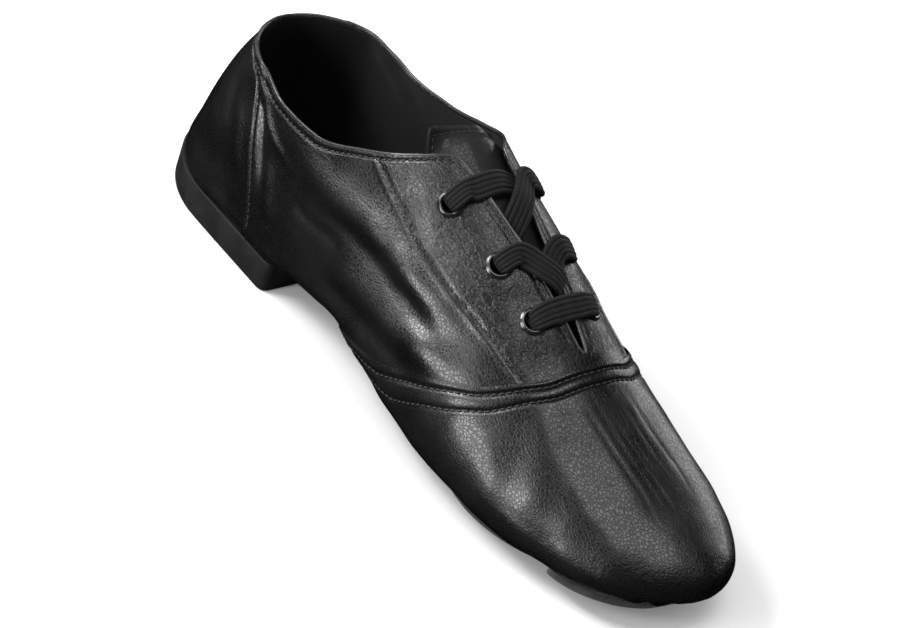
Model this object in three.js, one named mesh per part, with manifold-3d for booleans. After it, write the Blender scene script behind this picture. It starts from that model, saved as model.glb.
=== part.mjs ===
// Right jazz shoe: a soft leather upper on a split sole, laced over a tongue.
// X runs from the heel to the toe, Y to the medial side, Z up from the floor.

import * as THREE from 'three';
import { mergeVertices } from 'three/addons/utils/BufferGeometryUtils.js';
import Module from 'manifold-3d';

const wasm = await Module();
wasm.setup();

// Driving dimensions in millimetres
const LENGTH = 250; // back of the heel to the tip of the toe
const BALL_WIDTH = 79; // across the widest part of the forefoot
const INSTEP_DEPTH = 89; // highest ridge of the last above its bed
const COLLAR_DEPTH = 57; // back of the collar above the heel seat
const HEEL_HEIGHT = 9; // heel block under the flat of its seat
const HEEL_LENGTH = 70; // heel block from back to front
const HEEL_RIM = 2; // rise of the block's cupped edge
const HEEL_PROUD = 0.7; // how far the block stands out of the leather
const HEEL_CORNER = 6; // rounding of the block's front corners
const TOE_SPRING = 10; // rise of the bed at the tip of the toe
const HEEL_LEAN = 13; // how far the back of the collar leans forward
const HEEL_FLARE = 4.5; // how far the foot of the heel stands out behind
const RIDGE_SHIFT = 3.5; // the instep's ridge lies medial of the middle
const SETTLE = 0.8; // how much the leather flattens where it is trodden
const WALL = 1.6; // leather and lining together
const VAMP_STEP = 0.8; // edge of the vamp over the quarters
const TONGUE_WALL = 1.4;
const INSOLE_THICKNESS = 1.5;
const PAD_THICKNESS = 2; // suede pads under ball and toes
const GAP = 0.3; // clearance between pieces that lie on each other

const THROAT_END = 0.704 * LENGTH; // lower end of the throat, from the back of the heel
const THROAT_HALF_GAP = 7.8; // half the throat's width at its upper eyelets
const EYELET_STATIONS = [0.488, 0.58, 0.652].map((share) => share * LENGTH); // from the back of the heel
const EYELET_INSET = 9.3; // eyelet's middle from the edge of the throat
const EYELET_RADIUS = 4.8;
const EYELET_HOLE_RADIUS = 3.2;
const EYELET_BARREL_WALL = 0.5;
const EYELET_HEIGHT = 1;
const EYELET_SEAT = 0.25; // depth of the flat pressed into the leather
const LACE_WIDTH = 8.5;
const LACE_THICKNESS = 1.2;

const LACE_LIFT = 0.4; // of the lace that crosses over the other
const LACE_END = 1.5; // from the edge of the far facing to the end of a crossing
const UNDER_LEAD = 2; // how far the lower lace of a crossing heads for the toe
const OVER_LEAD = 6; // how far the upper one does

const TONGUE_OVERLAP = 10; // of the tongue past the lower end of the throat
const TONGUE_CORNER = 3;
const VAMP_CUT = 6; // how far the surface that trims the vamp stands off the last

// Pads and openings in plan. Places and lengths are shares of the length, and half widths and sideways
// shifts are shares of the ball's width.
const [BALL_PAD] = table(
  ['middle', 'front', 'back', 'halfWidth', 'shift'],
  [[0.724, 0.132, 0.172, 0.3735, 0.0316]],
);
const [TOE_PAD] = table(['front', 'depth', 'halfWidth', 'shift'], [[0.964, 0.092, 0.3355, 0.0696]]);
const [HEEL_OPENING, BALL_OPENING] = table(
  ['middle', 'halfLength', 'halfWidth', 'shift'],
  [
    [0.144, 0.092, 0.2152, 0.000],
    [0.708, 0.104, 0.2785, 0.019],
  ],
);

// Heights that follow from them
const BALL_FLOOR = PAD_THICKNESS + GAP + VAMP_STEP;
const HEEL_SEAT = HEEL_HEIGHT + GAP;
const INNER = -WALL;
const TONGUE_TOP = -(WALL + GAP);
const TONGUE_BOTTOM = TONGUE_TOP - TONGUE_WALL;
const INSOLE_TOP = WALL + GAP + INSOLE_THICKNESS;

// Rounding of the two ends in plan, and how many facets the last has
const HEEL_ROUND = 0.38 * BALL_WIDTH;
const TOE_ROUND = 0.43 * BALL_WIDTH;
const TOE_TIP_DEPTH = 0.4; // depth left at the very tip, as a share
const END_STATIONS = 5;
const MIDDLE_STATIONS = 22;
const AROUND = 36;

function table(columns, rows) {
  return rows.map((row) => Object.fromEntries(columns.map((column, i) => [column, row[i]])));
}

// Sections of the last, by their place as a share of the length. lateral, medial and centre are half widths
// and sideways shift in ball widths, crown the ridge above the bed in instep depths, seat and spring the
// bed's rise in heel seats and toe springs. belly is the height of the widest place as a share of the
// section, and corner and dome say how square the section is below and above it.
const SECTIONS = table(
  ['at', 'lateral', 'medial', 'centre', 'crown', 'seat', 'spring', 'belly', 'corner', 'dome'],
  [
    [0.00, 0.345, 0.335, 0.000, 0.840, 1.00, 0.00, 0.18, 6.5, 1.95],
    [0.12, 0.378, 0.370, 0.000, 0.960, 1.00, 0.00, 0.20, 6.5, 1.95],
    [0.24, 0.388, 0.390, 0.000, 1.000, 1.00, 0.00, 0.23, 5.6, 1.95],
    [0.36, 0.400, 0.410, 0.000, 0.935, 1.10, 0.00, 0.24, 3.4, 1.95],
    [0.42, 0.412, 0.420, 0.000, 0.885, 1.02, 0.00, 0.24, 2.6, 1.93],
    [0.47, 0.422, 0.430, 0.000, 0.840, 0.76, 0.00, 0.25, 2.6, 1.90],
    [0.56, 0.446, 0.458, 0.000, 0.762, 0.22, 0.00, 0.27, 2.8, 1.85],
    [0.64, 0.466, 0.474, 0.006, 0.655, 0.00, 0.00, 0.30, 3.0, 1.80],
    [0.72, 0.470, 0.482, 0.019, 0.525, 0.00, 0.00, 0.33, 3.0, 1.78],
    [0.80, 0.445, 0.466, 0.038, 0.413, 0.00, 0.05, 0.36, 3.0, 1.75],
    [0.88, 0.390, 0.412, 0.063, 0.308, 0.00, 0.24, 0.38, 2.8, 1.75],
    [0.94, 0.345, 0.360, 0.076, 0.230, 0.00, 0.52, 0.39, 2.6, 1.75],
    [1.00, 0.300, 0.305, 0.089, 0.135, 0.00, 1.00, 0.40, 2.4, 1.75],
  ],
);

// Height of the collar's edge above the bed on each side, in collar depths
const COLLAR = table(
  ['at', 'lateral', 'medial'],
  [
    [0.00, 0.99, 0.99],
    [0.06, 1.00, 1.00],
    [0.12, 0.99, 0.99],
    [0.20, 0.92, 0.94],
    [0.28, 0.94, 0.97],
    [0.36, 1.08, 1.09],
    [0.42, 1.23, 1.24],
    [0.45, 1.34, 1.34],
  ],
);

// Half width of the throat, in half gaps, from its rounded upper corners to its lower end
const THROAT = table(
  ['along', 'half'],
  [
    [-0.12, 1.60],
    [-0.05, 1.38],
    [0.00, 1.18],
    [0.08, 1.02],
    [0.40, 0.66],
    [0.75, 0.33],
    [0.96, 0.17],
    [1.00, 0.05],
  ],
);

// Edge of the vamp: round is the way round the last, from its ridge to the middle of its underside
const VAMP_EDGE = table(
  ['round', 'at'],
  [
    [0.00, 0.720],
    [0.13, 0.715],
    [0.22, 0.697],
    [0.30, 0.670],
    [0.38, 0.620],
    [0.46, 0.560],
    [0.54, 0.495],
    [0.62, 0.450],
    [0.75, 0.415],
    [1.00, 0.400],
  ],
);

// A smooth curve through the rows of a table, with no overshoot between two rows
function curve(rows, from, to) {
  const x = rows.map((row) => row[from]);
  const y = rows.map((row) => row[to]);
  const last = x.length - 1;
  const rise = (i) => (y[i + 1] - y[i]) / (x[i + 1] - x[i]);
  const slope = x.map((_, i) => {
    if (i === 0) return rise(0);
    if (i === last) return rise(last - 1);
    const before = rise(i - 1);
    const after = rise(i);
    return before * after <= 0 ? 0 : (2 * before * after) / (before + after);
  });
  return (at) => {
    const value = THREE.MathUtils.clamp(at, x[0], x[last]);
    const i = Math.max(0, x.findIndex((next, k) => k > 0 && value <= next) - 1);
    const step = x[i + 1] - x[i];
    const t = (value - x[i]) / step;
    const start = (1 + 2 * t) * (1 - t) ** 2 * y[i] + t * (1 - t) ** 2 * step * slope[i];
    return start + t * t * (3 - 2 * t) * y[i + 1] + t * t * (t - 1) * step * slope[i + 1];
  };
}

const section = {};
for (const name of ['lateral', 'medial', 'centre', 'crown', 'seat', 'spring', 'belly', 'corner', 'dome']) {
  section[name] = curve(SECTIONS, 'at', name);
}
const collarRim = { lateral: curve(COLLAR, 'at', 'lateral'), medial: curve(COLLAR, 'at', 'medial') };
const throatHalf = curve(THROAT, 'along', 'half');
const vampEdge = curve(VAMP_EDGE, 'round', 'at');

const clamp01 = (value) => THREE.MathUtils.clamp(value, 0, 1);

// Height of the bed, on which the foot stands, above the floor
function bed(x) {
  const at = x / LENGTH;
  return BALL_FLOOR + section.seat(at) * (HEEL_SEAT - BALL_FLOOR) + section.spring(at) * TOE_SPRING;
}

// Plan line of the instep's ridge, on which the throat lies
function ridgeLine(x) {
  const at = x / LENGTH;
  return section.centre(at) * BALL_WIDTH + RIDGE_SHIFT * clamp01((at - 0.36) / 0.24);
}

// How far the width has closed towards the two ends, from 0 at an end to 1
function endShare(x) {
  const heel = clamp01(1 - x / HEEL_ROUND);
  const toe = clamp01((x - LENGTH + TOE_ROUND) / TOE_ROUND);
  return { heel: Math.sqrt(1 - heel ** 2.2), toe: (1 - toe ** 2.5) ** 0.48 };
}

// A point of the last's surface. x is its station, turn goes from 0 on the ridge over the lateral side to
// 0.5 underneath and back over the medial side, and outset moves the whole surface outwards.
function lastPoint(x, turn, outset) {
  const at = x / LENGTH;
  const lateral = turn <= 0.5;
  const angle = lateral ? Math.PI * (0.5 - 2 * turn) : Math.PI * (2 * turn - 1.5);
  const ends = endShare(x);
  const half = BALL_WIDTH * (lateral ? section.lateral(at) : section.medial(at)) + outset;
  const bottom = bed(x) - SETTLE - outset;
  const top = bed(x) + section.crown(at) * INSTEP_DEPTH + outset;
  const widest = bottom + (top - bottom) * section.belly(at);
  const below = Math.sin(angle) < 0;
  const power = 2 / (below ? section.corner(at) : section.dome(at));
  const reach = (below ? widest - bottom : top - widest) * Math.abs(Math.sin(angle)) ** power;
  const height = Math.max(below ? widest - reach : widest + reach, bottom + SETTLE);
  const hub = bottom + (top - bottom) * 0.38;
  const z = hub + (height - hub) * (TOE_TIP_DEPTH + (1 - TOE_TIP_DEPTH) * ends.toe);
  const across = half * ends.heel * ends.toe * Math.abs(Math.cos(angle)) ** power;
  const up = clamp01((z - widest) / (top - widest));
  const middle = section.centre(at) * BALL_WIDTH + up ** 2 * (ridgeLine(x) - section.centre(at) * BALL_WIDTH);
  const rise = (z - bed(x)) / COLLAR_DEPTH;
  const lean = HEEL_LEAN * THREE.MathUtils.clamp((rise - 0.25) / 0.72, 0, 2) ** 1.6;
  const flare = HEEL_FLARE * clamp01(1 - rise / 0.45) ** 2;
  const forward = (lean - flare) * clamp01(1 - at / 0.28) ** 2;
  const stretched = -outset + at * (LENGTH + 2 * outset);
  return new THREE.Vector3(stretched + forward, middle + (lateral ? -across : across), z);
}

function lastNormal(x, turn) {
  const along = lastPoint(x + 0.5, turn, 0).sub(lastPoint(x - 0.5, turn, 0));
  const round = lastPoint(x, turn + 0.002, 0).sub(lastPoint(x, turn - 0.002, 0));
  return round.cross(along).normalize();
}

// The turn at which the upper half of a station lies a given distance from the ridge's plan line
function turnAt(x, distance) {
  let near = 0;
  let far = 0.25;
  for (let i = 0; i < 30; i += 1) {
    const turn = (near + far) / 2;
    const point = lastPoint(x, distance < 0 ? turn : 1 - turn, 0);
    if (Math.abs(point.y - ridgeLine(x)) < Math.abs(distance)) near = turn;
    else far = turn;
  }
  return distance < 0 ? near : 1 - near;
}

// Stations close together where the ends round off, and even between them
function stations() {
  const list = [];
  for (let i = 0; i < END_STATIONS; i += 1) {
    list.push(HEEL_ROUND * (1 - Math.cos((i / END_STATIONS) * (Math.PI / 2))));
  }
  for (let i = 0; i <= MIDDLE_STATIONS; i += 1) {
    list.push(HEEL_ROUND + ((LENGTH - HEEL_ROUND - TOE_ROUND) * i) / MIDDLE_STATIONS);
  }
  for (let i = END_STATIONS - 1; i >= 0; i -= 1) {
    list.push(LENGTH - TOE_ROUND * (1 - Math.cos((i / END_STATIONS) * (Math.PI / 2))));
  }
  return list;
}

// A closed skin over rings of points that run round +X anticlockwise, with flat fans on its open ends
function skin(rings, capped) {
  const round = rings[0].length;
  const points = rings.flat();
  const faces = [];
  for (let i = 0; i + 1 < rings.length; i += 1) {
    for (let j = 0; j < round; j += 1) {
      const a = i * round + j;
      const b = i * round + ((j + 1) % round);
      faces.push(a, b, a + round, b, b + round, a + round);
    }
  }
  if (capped) {
    const first = points.push(rings[0].reduce((sum, p) => sum.add(p), new THREE.Vector3()).divideScalar(round)) - 1;
    const end = rings[rings.length - 1];
    const final = points.push(end.reduce((sum, p) => sum.add(p), new THREE.Vector3()).divideScalar(round)) - 1;
    const offset = (rings.length - 1) * round;
    for (let j = 0; j < round; j += 1) {
      faces.push(first, (j + 1) % round, j);
      faces.push(final, offset + j, offset + ((j + 1) % round));
    }
  }
  const geometry = new THREE.BufferGeometry().setFromPoints(points);
  geometry.setIndex(faces);
  return geometry;
}

// The solid inside a closed geometry
function solid(geometry) {
  const bare = geometry.clone();
  bare.deleteAttribute('normal');
  bare.deleteAttribute('uv');
  const merged = mergeVertices(bare, 1e-4);
  const index = merged.getIndex().array;
  const triangles = [];
  for (let i = 0; i < index.length; i += 3) {
    const [a, b, c] = [index[i], index[i + 1], index[i + 2]];
    if (a !== b && b !== c && c !== a) triangles.push(a, b, c);
  }
  const mesh = new wasm.Mesh({
    numProp: 3,
    vertProperties: new Float32Array(merged.getAttribute('position').array),
    triVerts: new Uint32Array(triangles),
  });
  return new wasm.Manifold(mesh);
}

function geometryOf(piece) {
  const mesh = piece.getMesh();
  const geometry = new THREE.BufferGeometry();
  geometry.setAttribute('position', new THREE.BufferAttribute(mesh.vertProperties, 3));
  geometry.setIndex(new THREE.BufferAttribute(mesh.triVerts, 1));
  return geometry;
}

const lastSolids = new Map();

// The last as a solid, with its surface moved outwards
function last(outset) {
  if (!lastSolids.has(outset)) {
    const rings = stations().map((x) => {
      const ring = [];
      for (let j = 0; j < AROUND; j += 1) ring.push(lastPoint(x, j / AROUND, outset));
      return ring;
    });
    lastSolids.set(outset, solid(skin(rings, false)));
  }
  return lastSolids.get(outset);
}

// A prism over an outline in plan
function planPrism(outline, low, high) {
  const geometry = new THREE.ExtrudeGeometry(new THREE.Shape(outline), { depth: high - low, bevelEnabled: false });
  geometry.translate(0, 0, low);
  return solid(geometry);
}

// A prism across the shoe over an outline seen from the side, from one side distance to another
function sidePrism(outline, from, to) {
  const geometry = new THREE.ExtrudeGeometry(new THREE.Shape(outline), { depth: to - from, bevelEnabled: false });
  geometry.rotateX(Math.PI / 2);
  geometry.translate(0, to, 0);
  return solid(geometry);
}

const COLLAR_FRONT = COLLAR[COLLAR.length - 1].at * LENGTH;

// Everything above the edge of the collar on one side
function collarCut(side) {
  const steps = 24;
  const outline = [];
  for (let i = 0; i <= steps; i += 1) {
    const x = (COLLAR_FRONT * i) / steps;
    outline.push(new THREE.Vector2(x, bed(x) + collarRim[side](x / LENGTH) * COLLAR_DEPTH));
  }
  const ceiling = 2 * (HEEL_SEAT + INSTEP_DEPTH);
  outline.unshift(new THREE.Vector2(-LENGTH / 10, outline[0].y));
  outline.push(new THREE.Vector2(COLLAR_FRONT, ceiling));
  outline.push(new THREE.Vector2(-LENGTH / 10, ceiling));
  return side === 'lateral' ? sidePrism(outline, -BALL_WIDTH, 0) : sidePrism(outline, 0, BALL_WIDTH);
}

const throatLength = THROAT_END - COLLAR_FRONT;

// Half the throat's width at a station
function throatEdge(x) {
  return THROAT_HALF_GAP * throatHalf((x - COLLAR_FRONT) / throatLength);
}

// The wedge of the throat, down through the wall
function throatCut() {
  const steps = 26;
  const start = THROAT[0].along;
  const edge = (side) => {
    const points = [];
    for (let i = 0; i <= steps; i += 1) {
      const x = COLLAR_FRONT + throatLength * (start + ((1 - start) * i) / steps);
      points.push(new THREE.Vector2(x, ridgeLine(x) + side * throatEdge(x)));
    }
    return points;
  };
  const low = bed(THROAT_END) + 0.5 * section.crown(THROAT_END / LENGTH) * INSTEP_DEPTH;
  return planPrism([...edge(-1), ...edge(1).reverse()], low, 2 * (HEEL_SEAT + INSTEP_DEPTH));
}

// All that lies in front of the vamp's edge
function vampRegion() {
  const edge = [];
  const front = [];
  for (let j = 0; j < AROUND; j += 1) {
    const turn = j / AROUND;
    const round = turn <= 0.5 ? 2 * turn : 2 - 2 * turn;
    edge.push(lastPoint(vampEdge(round) * LENGTH, turn, VAMP_CUT));
    const wide = lastPoint(0.72 * LENGTH, turn, 3 * VAMP_CUT);
    front.push(new THREE.Vector3(LENGTH + 2 * VAMP_CUT, wide.y, wide.z));
  }
  return solid(skin([edge, front], true));
}

function ellipse({ middle, halfLength, halfWidth, shift }) {
  const outline = [];
  const steps = 28;
  for (let i = 0; i < steps; i += 1) {
    const angle = (i / steps) * 2 * Math.PI;
    const along = middle + halfLength * Math.cos(angle);
    const across = shift + halfWidth * Math.sin(angle);
    outline.push(new THREE.Vector2(along * LENGTH, across * BALL_WIDTH));
  }
  return outline;
}

// Places of the eyelets on the two facings
function eyeletPlaces() {
  const places = [];
  for (const side of [-1, 1]) {
    EYELET_STATIONS.forEach((x, i) => {
      const turn = turnAt(x, side * (throatEdge(x) + EYELET_INSET));
      const name = `eyelet_${side < 0 ? 'lateral' : 'medial'}_${i + 1}`;
      places.push({ name, side, row: i, point: lastPoint(x, turn, 0), normal: lastNormal(x, turn) });
    });
  }
  return places;
}

// A round body on an eyelet's axis, from a profile of radius and height above the leather
function turned(profile, place, segments) {
  const points = profile.map(([radius, height]) => new THREE.Vector2(radius, height));
  const geometry = new THREE.LatheGeometry(points, segments);
  const lean = new THREE.Quaternion().setFromUnitVectors(new THREE.Vector3(0, 1, 0), place.normal);
  geometry.applyQuaternion(lean);
  geometry.translate(place.point.x, place.point.y, place.point.z);
  return solid(geometry);
}

// The hole for an eyelet's barrel, and the flat that its rim is pressed into
function eyeletHole(place) {
  const barrel = EYELET_HOLE_RADIUS + EYELET_BARREL_WALL + GAP;
  const rim = EYELET_RADIUS + GAP;
  const depth = 3 * WALL;
  const hole = [[0, -depth], [barrel, -depth], [barrel, -EYELET_SEAT]];
  const flat = [[rim, -EYELET_SEAT], [rim, depth], [0, depth]];
  return turned([...hole, ...flat], place, 16);
}

function eyelet(place) {
  const barrel = EYELET_HOLE_RADIUS + EYELET_BARREL_WALL;
  const seat = GAP - EYELET_SEAT;
  const top = seat + EYELET_HEIGHT;
  const foot = -(WALL - GAP);
  const middle = (EYELET_HOLE_RADIUS + EYELET_RADIUS) / 2;
  const profile = [
    [EYELET_HOLE_RADIUS, foot],
    [barrel, foot],
    [barrel, seat],
    [EYELET_RADIUS, seat],
    [EYELET_RADIUS, seat + 0.4 * EYELET_HEIGHT],
    [middle, top],
    [EYELET_HOLE_RADIUS, seat + 0.6 * EYELET_HEIGHT],
    [EYELET_HOLE_RADIUS, foot],
  ];
  return turned(profile, place, 16);
}

function upper() {
  const vamp = last(VAMP_STEP).intersect(vampRegion());
  let shell = last(0).add(vamp).subtract(last(INNER));
  shell = shell.subtract(collarCut('lateral')).subtract(collarCut('medial')).subtract(throatCut());
  shell = shell.subtract(planPrism(ellipse(HEEL_OPENING), 0, HEEL_SEAT + 2 * WALL));
  shell = shell.subtract(planPrism(ellipse(BALL_OPENING), -BALL_FLOOR, BALL_FLOOR + 2 * WALL));
  for (const place of eyeletPlaces()) shell = shell.subtract(eyeletHole(place));
  return shell;
}

// The tongue lies under the throat and stands up past the front of the collar
function tongue() {
  const back = 0.415 * LENGTH;
  const front = THROAT_END + TONGUE_OVERLAP;
  const wide = 2.5 * THROAT_HALF_GAP;
  const narrow = 2 * THROAT_HALF_GAP;
  const corner = TONGUE_CORNER;
  const outline = [
    new THREE.Vector2(back, ridgeLine(back) - wide + corner),
    new THREE.Vector2(back + corner, ridgeLine(back) - wide),
    new THREE.Vector2(front, ridgeLine(front) - narrow),
    new THREE.Vector2(front, ridgeLine(front) + narrow),
    new THREE.Vector2(back + corner, ridgeLine(back) + wide),
    new THREE.Vector2(back, ridgeLine(back) + wide - corner),
  ];
  const low = bed(front) + 0.35 * section.crown(front / LENGTH) * INSTEP_DEPTH;
  const column = planPrism(outline, low, 2 * (HEEL_SEAT + INSTEP_DEPTH));
  return last(TONGUE_TOP).subtract(last(TONGUE_BOTTOM)).intersect(column);
}

// The insole fills the bottom of the inside, flat on top
function insole() {
  const steps = 24;
  const outline = [];
  for (let i = 0; i <= steps; i += 1) {
    const x = (LENGTH * i) / steps;
    outline.push(new THREE.Vector2(x, bed(x) + INSOLE_TOP));
  }
  outline.push(new THREE.Vector2(LENGTH, -HEEL_SEAT), new THREE.Vector2(0, -HEEL_SEAT));
  return last(-(WALL + GAP)).intersect(sidePrism(outline, -BALL_WIDTH, BALL_WIDTH));
}

// The heel block follows the edge of the leather, and its top is cupped to the seat
function heel() {
  const feather = 0.5 - 0.16;
  const proud = HEEL_PROUD;
  const lateral = [];
  const medial = [];
  for (const x of stations().filter((station) => station < HEEL_LENGTH - HEEL_CORNER)) {
    const near = lastPoint(x, feather, proud);
    const far = lastPoint(x, 1 - feather, proud);
    lateral.push(new THREE.Vector2(near.x, near.y));
    medial.push(new THREE.Vector2(far.x, far.y));
  }
  const shape = new THREE.Shape([...medial.reverse(), ...lateral.slice(1)]);
  const corner = lastPoint(HEEL_LENGTH, feather, proud);
  const other = lastPoint(HEEL_LENGTH, 1 - feather, proud);
  shape.quadraticCurveTo(HEEL_LENGTH, corner.y, HEEL_LENGTH, corner.y + HEEL_CORNER);
  shape.lineTo(HEEL_LENGTH, other.y - HEEL_CORNER);
  shape.quadraticCurveTo(HEEL_LENGTH, other.y, medial[0].x, medial[0].y);
  const outline = shape.getPoints(4);
  outline.pop();
  return planPrism(outline, 0, HEEL_HEIGHT + HEEL_RIM).subtract(last(GAP));
}

// A patch of suede on the underside of the last
function patch(outline) {
  const column = planPrism(outline, -BALL_FLOOR, BALL_FLOOR + TOE_SPRING);
  return last(BALL_FLOOR).subtract(last(VAMP_STEP + GAP)).intersect(column);
}

// Round in front, and drawn out to a blunt point behind
function ballPad() {
  const { middle, front, back, halfWidth, shift } = BALL_PAD;
  const steps = 36;
  const outline = [];
  for (let i = 0; i < steps; i += 1) {
    const angle = (i / steps) * 2 * Math.PI;
    const along = Math.cos(angle);
    const across = Math.sin(angle);
    if (along >= 0) {
      outline.push(new THREE.Vector2((middle + front * along) * LENGTH, (shift + halfWidth * across) * BALL_WIDTH));
    } else {
      const taper = Math.sign(across) * (1 - Math.abs(along) ** 1.7) ** 0.8;
      outline.push(new THREE.Vector2((middle + back * along) * LENGTH, (shift + halfWidth * taper) * BALL_WIDTH));
    }
  }
  return patch(outline);
}

// A crescent, rounded in front and hollowed behind round the ball pad
function toePad() {
  const { front, depth, halfWidth, shift } = TOE_PAD;
  const steps = 14;
  const fore = [];
  const rear = [];
  for (let i = 0; i <= steps; i += 1) {
    const share = (2 * i) / steps - 1;
    const across = (shift + halfWidth * share) * BALL_WIDTH;
    fore.push(new THREE.Vector2((front - 0.62 * depth * share ** 2) * LENGTH, across));
    rear.push(new THREE.Vector2((front - depth - 0.5 * depth * share ** 2) * LENGTH, across));
  }
  return patch([...rear, ...fore.reverse()]);
}

// A flat ribbon over the facings. Each step of its route gives the station, the distance from the ridge and
// the height of its middle above the leather, and how much of its width it has there.
function ribbon(route) {
  const spread = new THREE.CatmullRomCurve3(route.map((step) => new THREE.Vector3(step.x, step.y, step.z)));
  const share = new THREE.CatmullRomCurve3(route.map((step) => new THREE.Vector3(step.width, 0, 0)));
  const count = 3 * (route.length - 1);
  const middle = [];
  const normals = [];
  const widths = [];
  for (let i = 0; i <= count; i += 1) {
    const place = spread.getPoint(i / count);
    const turn = turnAt(place.x, place.y);
    const normal = lastNormal(place.x, turn);
    middle.push(lastPoint(place.x, turn, 0).addScaledVector(normal, place.z));
    normals.push(normal);
    widths.push(share.getPoint(i / count).x * LACE_WIDTH);
  }
  const rings = middle.map((point, i) => {
    const ahead = middle[Math.min(i + 1, count)].clone().sub(middle[Math.max(i - 1, 0)]).normalize();
    const across = new THREE.Vector3().crossVectors(normals[i], ahead).normalize();
    const up = new THREE.Vector3().crossVectors(ahead, across).normalize();
    const corner = (w, h) => point.clone().addScaledVector(across, (w * widths[i]) / 2)
      .addScaledVector(up, (h * LACE_THICKNESS) / 2);
    return [corner(-1, -1), corner(1, -1), corner(1, 1), corner(-1, 1)];
  });
  return solid(skin(rings, true));
}

const LACE_OVER_EYELET = GAP - EYELET_SEAT + EYELET_HEIGHT + GAP + LACE_THICKNESS / 2;
const LACE_OVER_LEATHER = GAP + LACE_THICKNESS / 2;

// The route of one lace end from its eyelet across the throat: forward is how far it heads for the toe
function crossing(row, side, forward, over) {
  const x = EYELET_STATIONS[row];
  const edge = throatEdge(x);
  const start = edge + EYELET_INSET;
  return ribbon([
    { x, y: side * (start + EYELET_HOLE_RADIUS / 2), z: LACE_OVER_EYELET, width: 0.62 },
    { x: x + 0.1 * forward, y: side * (start - EYELET_RADIUS), z: LACE_OVER_EYELET, width: 0.9 },
    { x: x + 0.4 * forward, y: side * edge, z: LACE_OVER_LEATHER + over, width: 1 },
    { x: x + 0.7 * forward, y: side * 0.06 * THROAT_HALF_GAP, z: LACE_OVER_LEATHER + over, width: 1 },
    { x: x + forward, y: -side * (edge - LACE_END), z: LACE_OVER_LEATHER, width: 0.9 },
  ]);
}

function laceBar(row) {
  const x = EYELET_STATIONS[row];
  const start = throatEdge(x) + EYELET_INSET;
  const half = (side) => [
    { x, y: side * (start + EYELET_HOLE_RADIUS / 2), z: LACE_OVER_EYELET, width: 0.62 },
    { x, y: side * (start - EYELET_RADIUS), z: LACE_OVER_EYELET, width: 0.9 },
    { x, y: side * throatEdge(x), z: LACE_OVER_LEATHER, width: 1 },
  ];
  return ribbon([...half(-1), ...half(1).reverse()]);
}

const LEATHER = { color: 0x0d0d0e, roughness: 0.38, metalness: 0 };
const SUEDE = { color: 0x2b2b2c, roughness: 0.95, metalness: 0 };
const RUBBER = { color: 0x232324, roughness: 0.8, metalness: 0 };
const LINING = { color: 0x101010, roughness: 0.9, metalness: 0 };
const RIBBON = { color: 0x141415, roughness: 0.85, metalness: 0 };
const METAL = { color: 0x1a1a1b, roughness: 0.3, metalness: 0.9 };

const shoe = new THREE.Group();

function addPiece(name, piece, finish) {
  const mesh = new THREE.Mesh(geometryOf(piece), new THREE.MeshStandardMaterial(finish));
  mesh.name = name;
  shoe.add(mesh);
}

addPiece('upper', upper(), LEATHER);
addPiece('tongue', tongue(), LEATHER);
addPiece('insole', insole(), LINING);
addPiece('heel', heel(), RUBBER);
addPiece('ball_pad', ballPad(), SUEDE);
addPiece('toe_pad', toePad(), SUEDE);
for (const place of eyeletPlaces()) addPiece(place.name, eyelet(place), METAL);
addPiece('lace_top', crossing(0, -1, UNDER_LEAD, 0).add(crossing(0, 1, OVER_LEAD, LACE_LIFT)), RIBBON);
addPiece('lace_middle', crossing(1, 1, OVER_LEAD, 0).add(crossing(1, -1, OVER_LEAD, LACE_LIFT)), RIBBON);
addPiece('lace_bottom', laceBar(2), RIBBON);

// The origin is in the middle of the shoe's box, on the floor
const box = new THREE.Box3().setFromObject(shoe);
shoe.position.set(-(box.min.x + box.max.x) / 2, -(box.min.y + box.max.y) / 2, -box.min.z);

export default shoe;
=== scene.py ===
"""Right jazz shoe: leather upper, lining, tongue, laces, eyelets, heel, suede pads and stitching"""

import math

import bpy
import numpy as np
from mathutils import Matrix, Vector


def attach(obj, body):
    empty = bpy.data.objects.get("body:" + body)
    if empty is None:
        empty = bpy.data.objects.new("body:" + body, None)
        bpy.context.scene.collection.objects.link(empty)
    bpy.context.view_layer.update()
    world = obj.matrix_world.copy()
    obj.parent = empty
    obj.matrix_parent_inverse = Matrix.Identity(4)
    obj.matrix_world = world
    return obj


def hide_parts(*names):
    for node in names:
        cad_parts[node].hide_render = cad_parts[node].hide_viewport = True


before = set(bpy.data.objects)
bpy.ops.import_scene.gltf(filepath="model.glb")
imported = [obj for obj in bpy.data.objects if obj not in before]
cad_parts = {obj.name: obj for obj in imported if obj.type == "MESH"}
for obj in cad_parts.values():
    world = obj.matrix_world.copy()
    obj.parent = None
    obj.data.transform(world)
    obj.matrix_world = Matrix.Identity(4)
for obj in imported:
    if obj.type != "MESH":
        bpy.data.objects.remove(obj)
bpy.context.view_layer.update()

bl_info = {
    "name": "Jazz shoe",
    "version": (1, 0, 0),
    "blender": (4, 5, 0),
    "location": "View3D > Sidebar > Jazz shoe",
    "description": "Builds a soft leather jazz shoe round its packed solids",
    "category": "Object",
}

MM = 0.001
BODY = "root"

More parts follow.
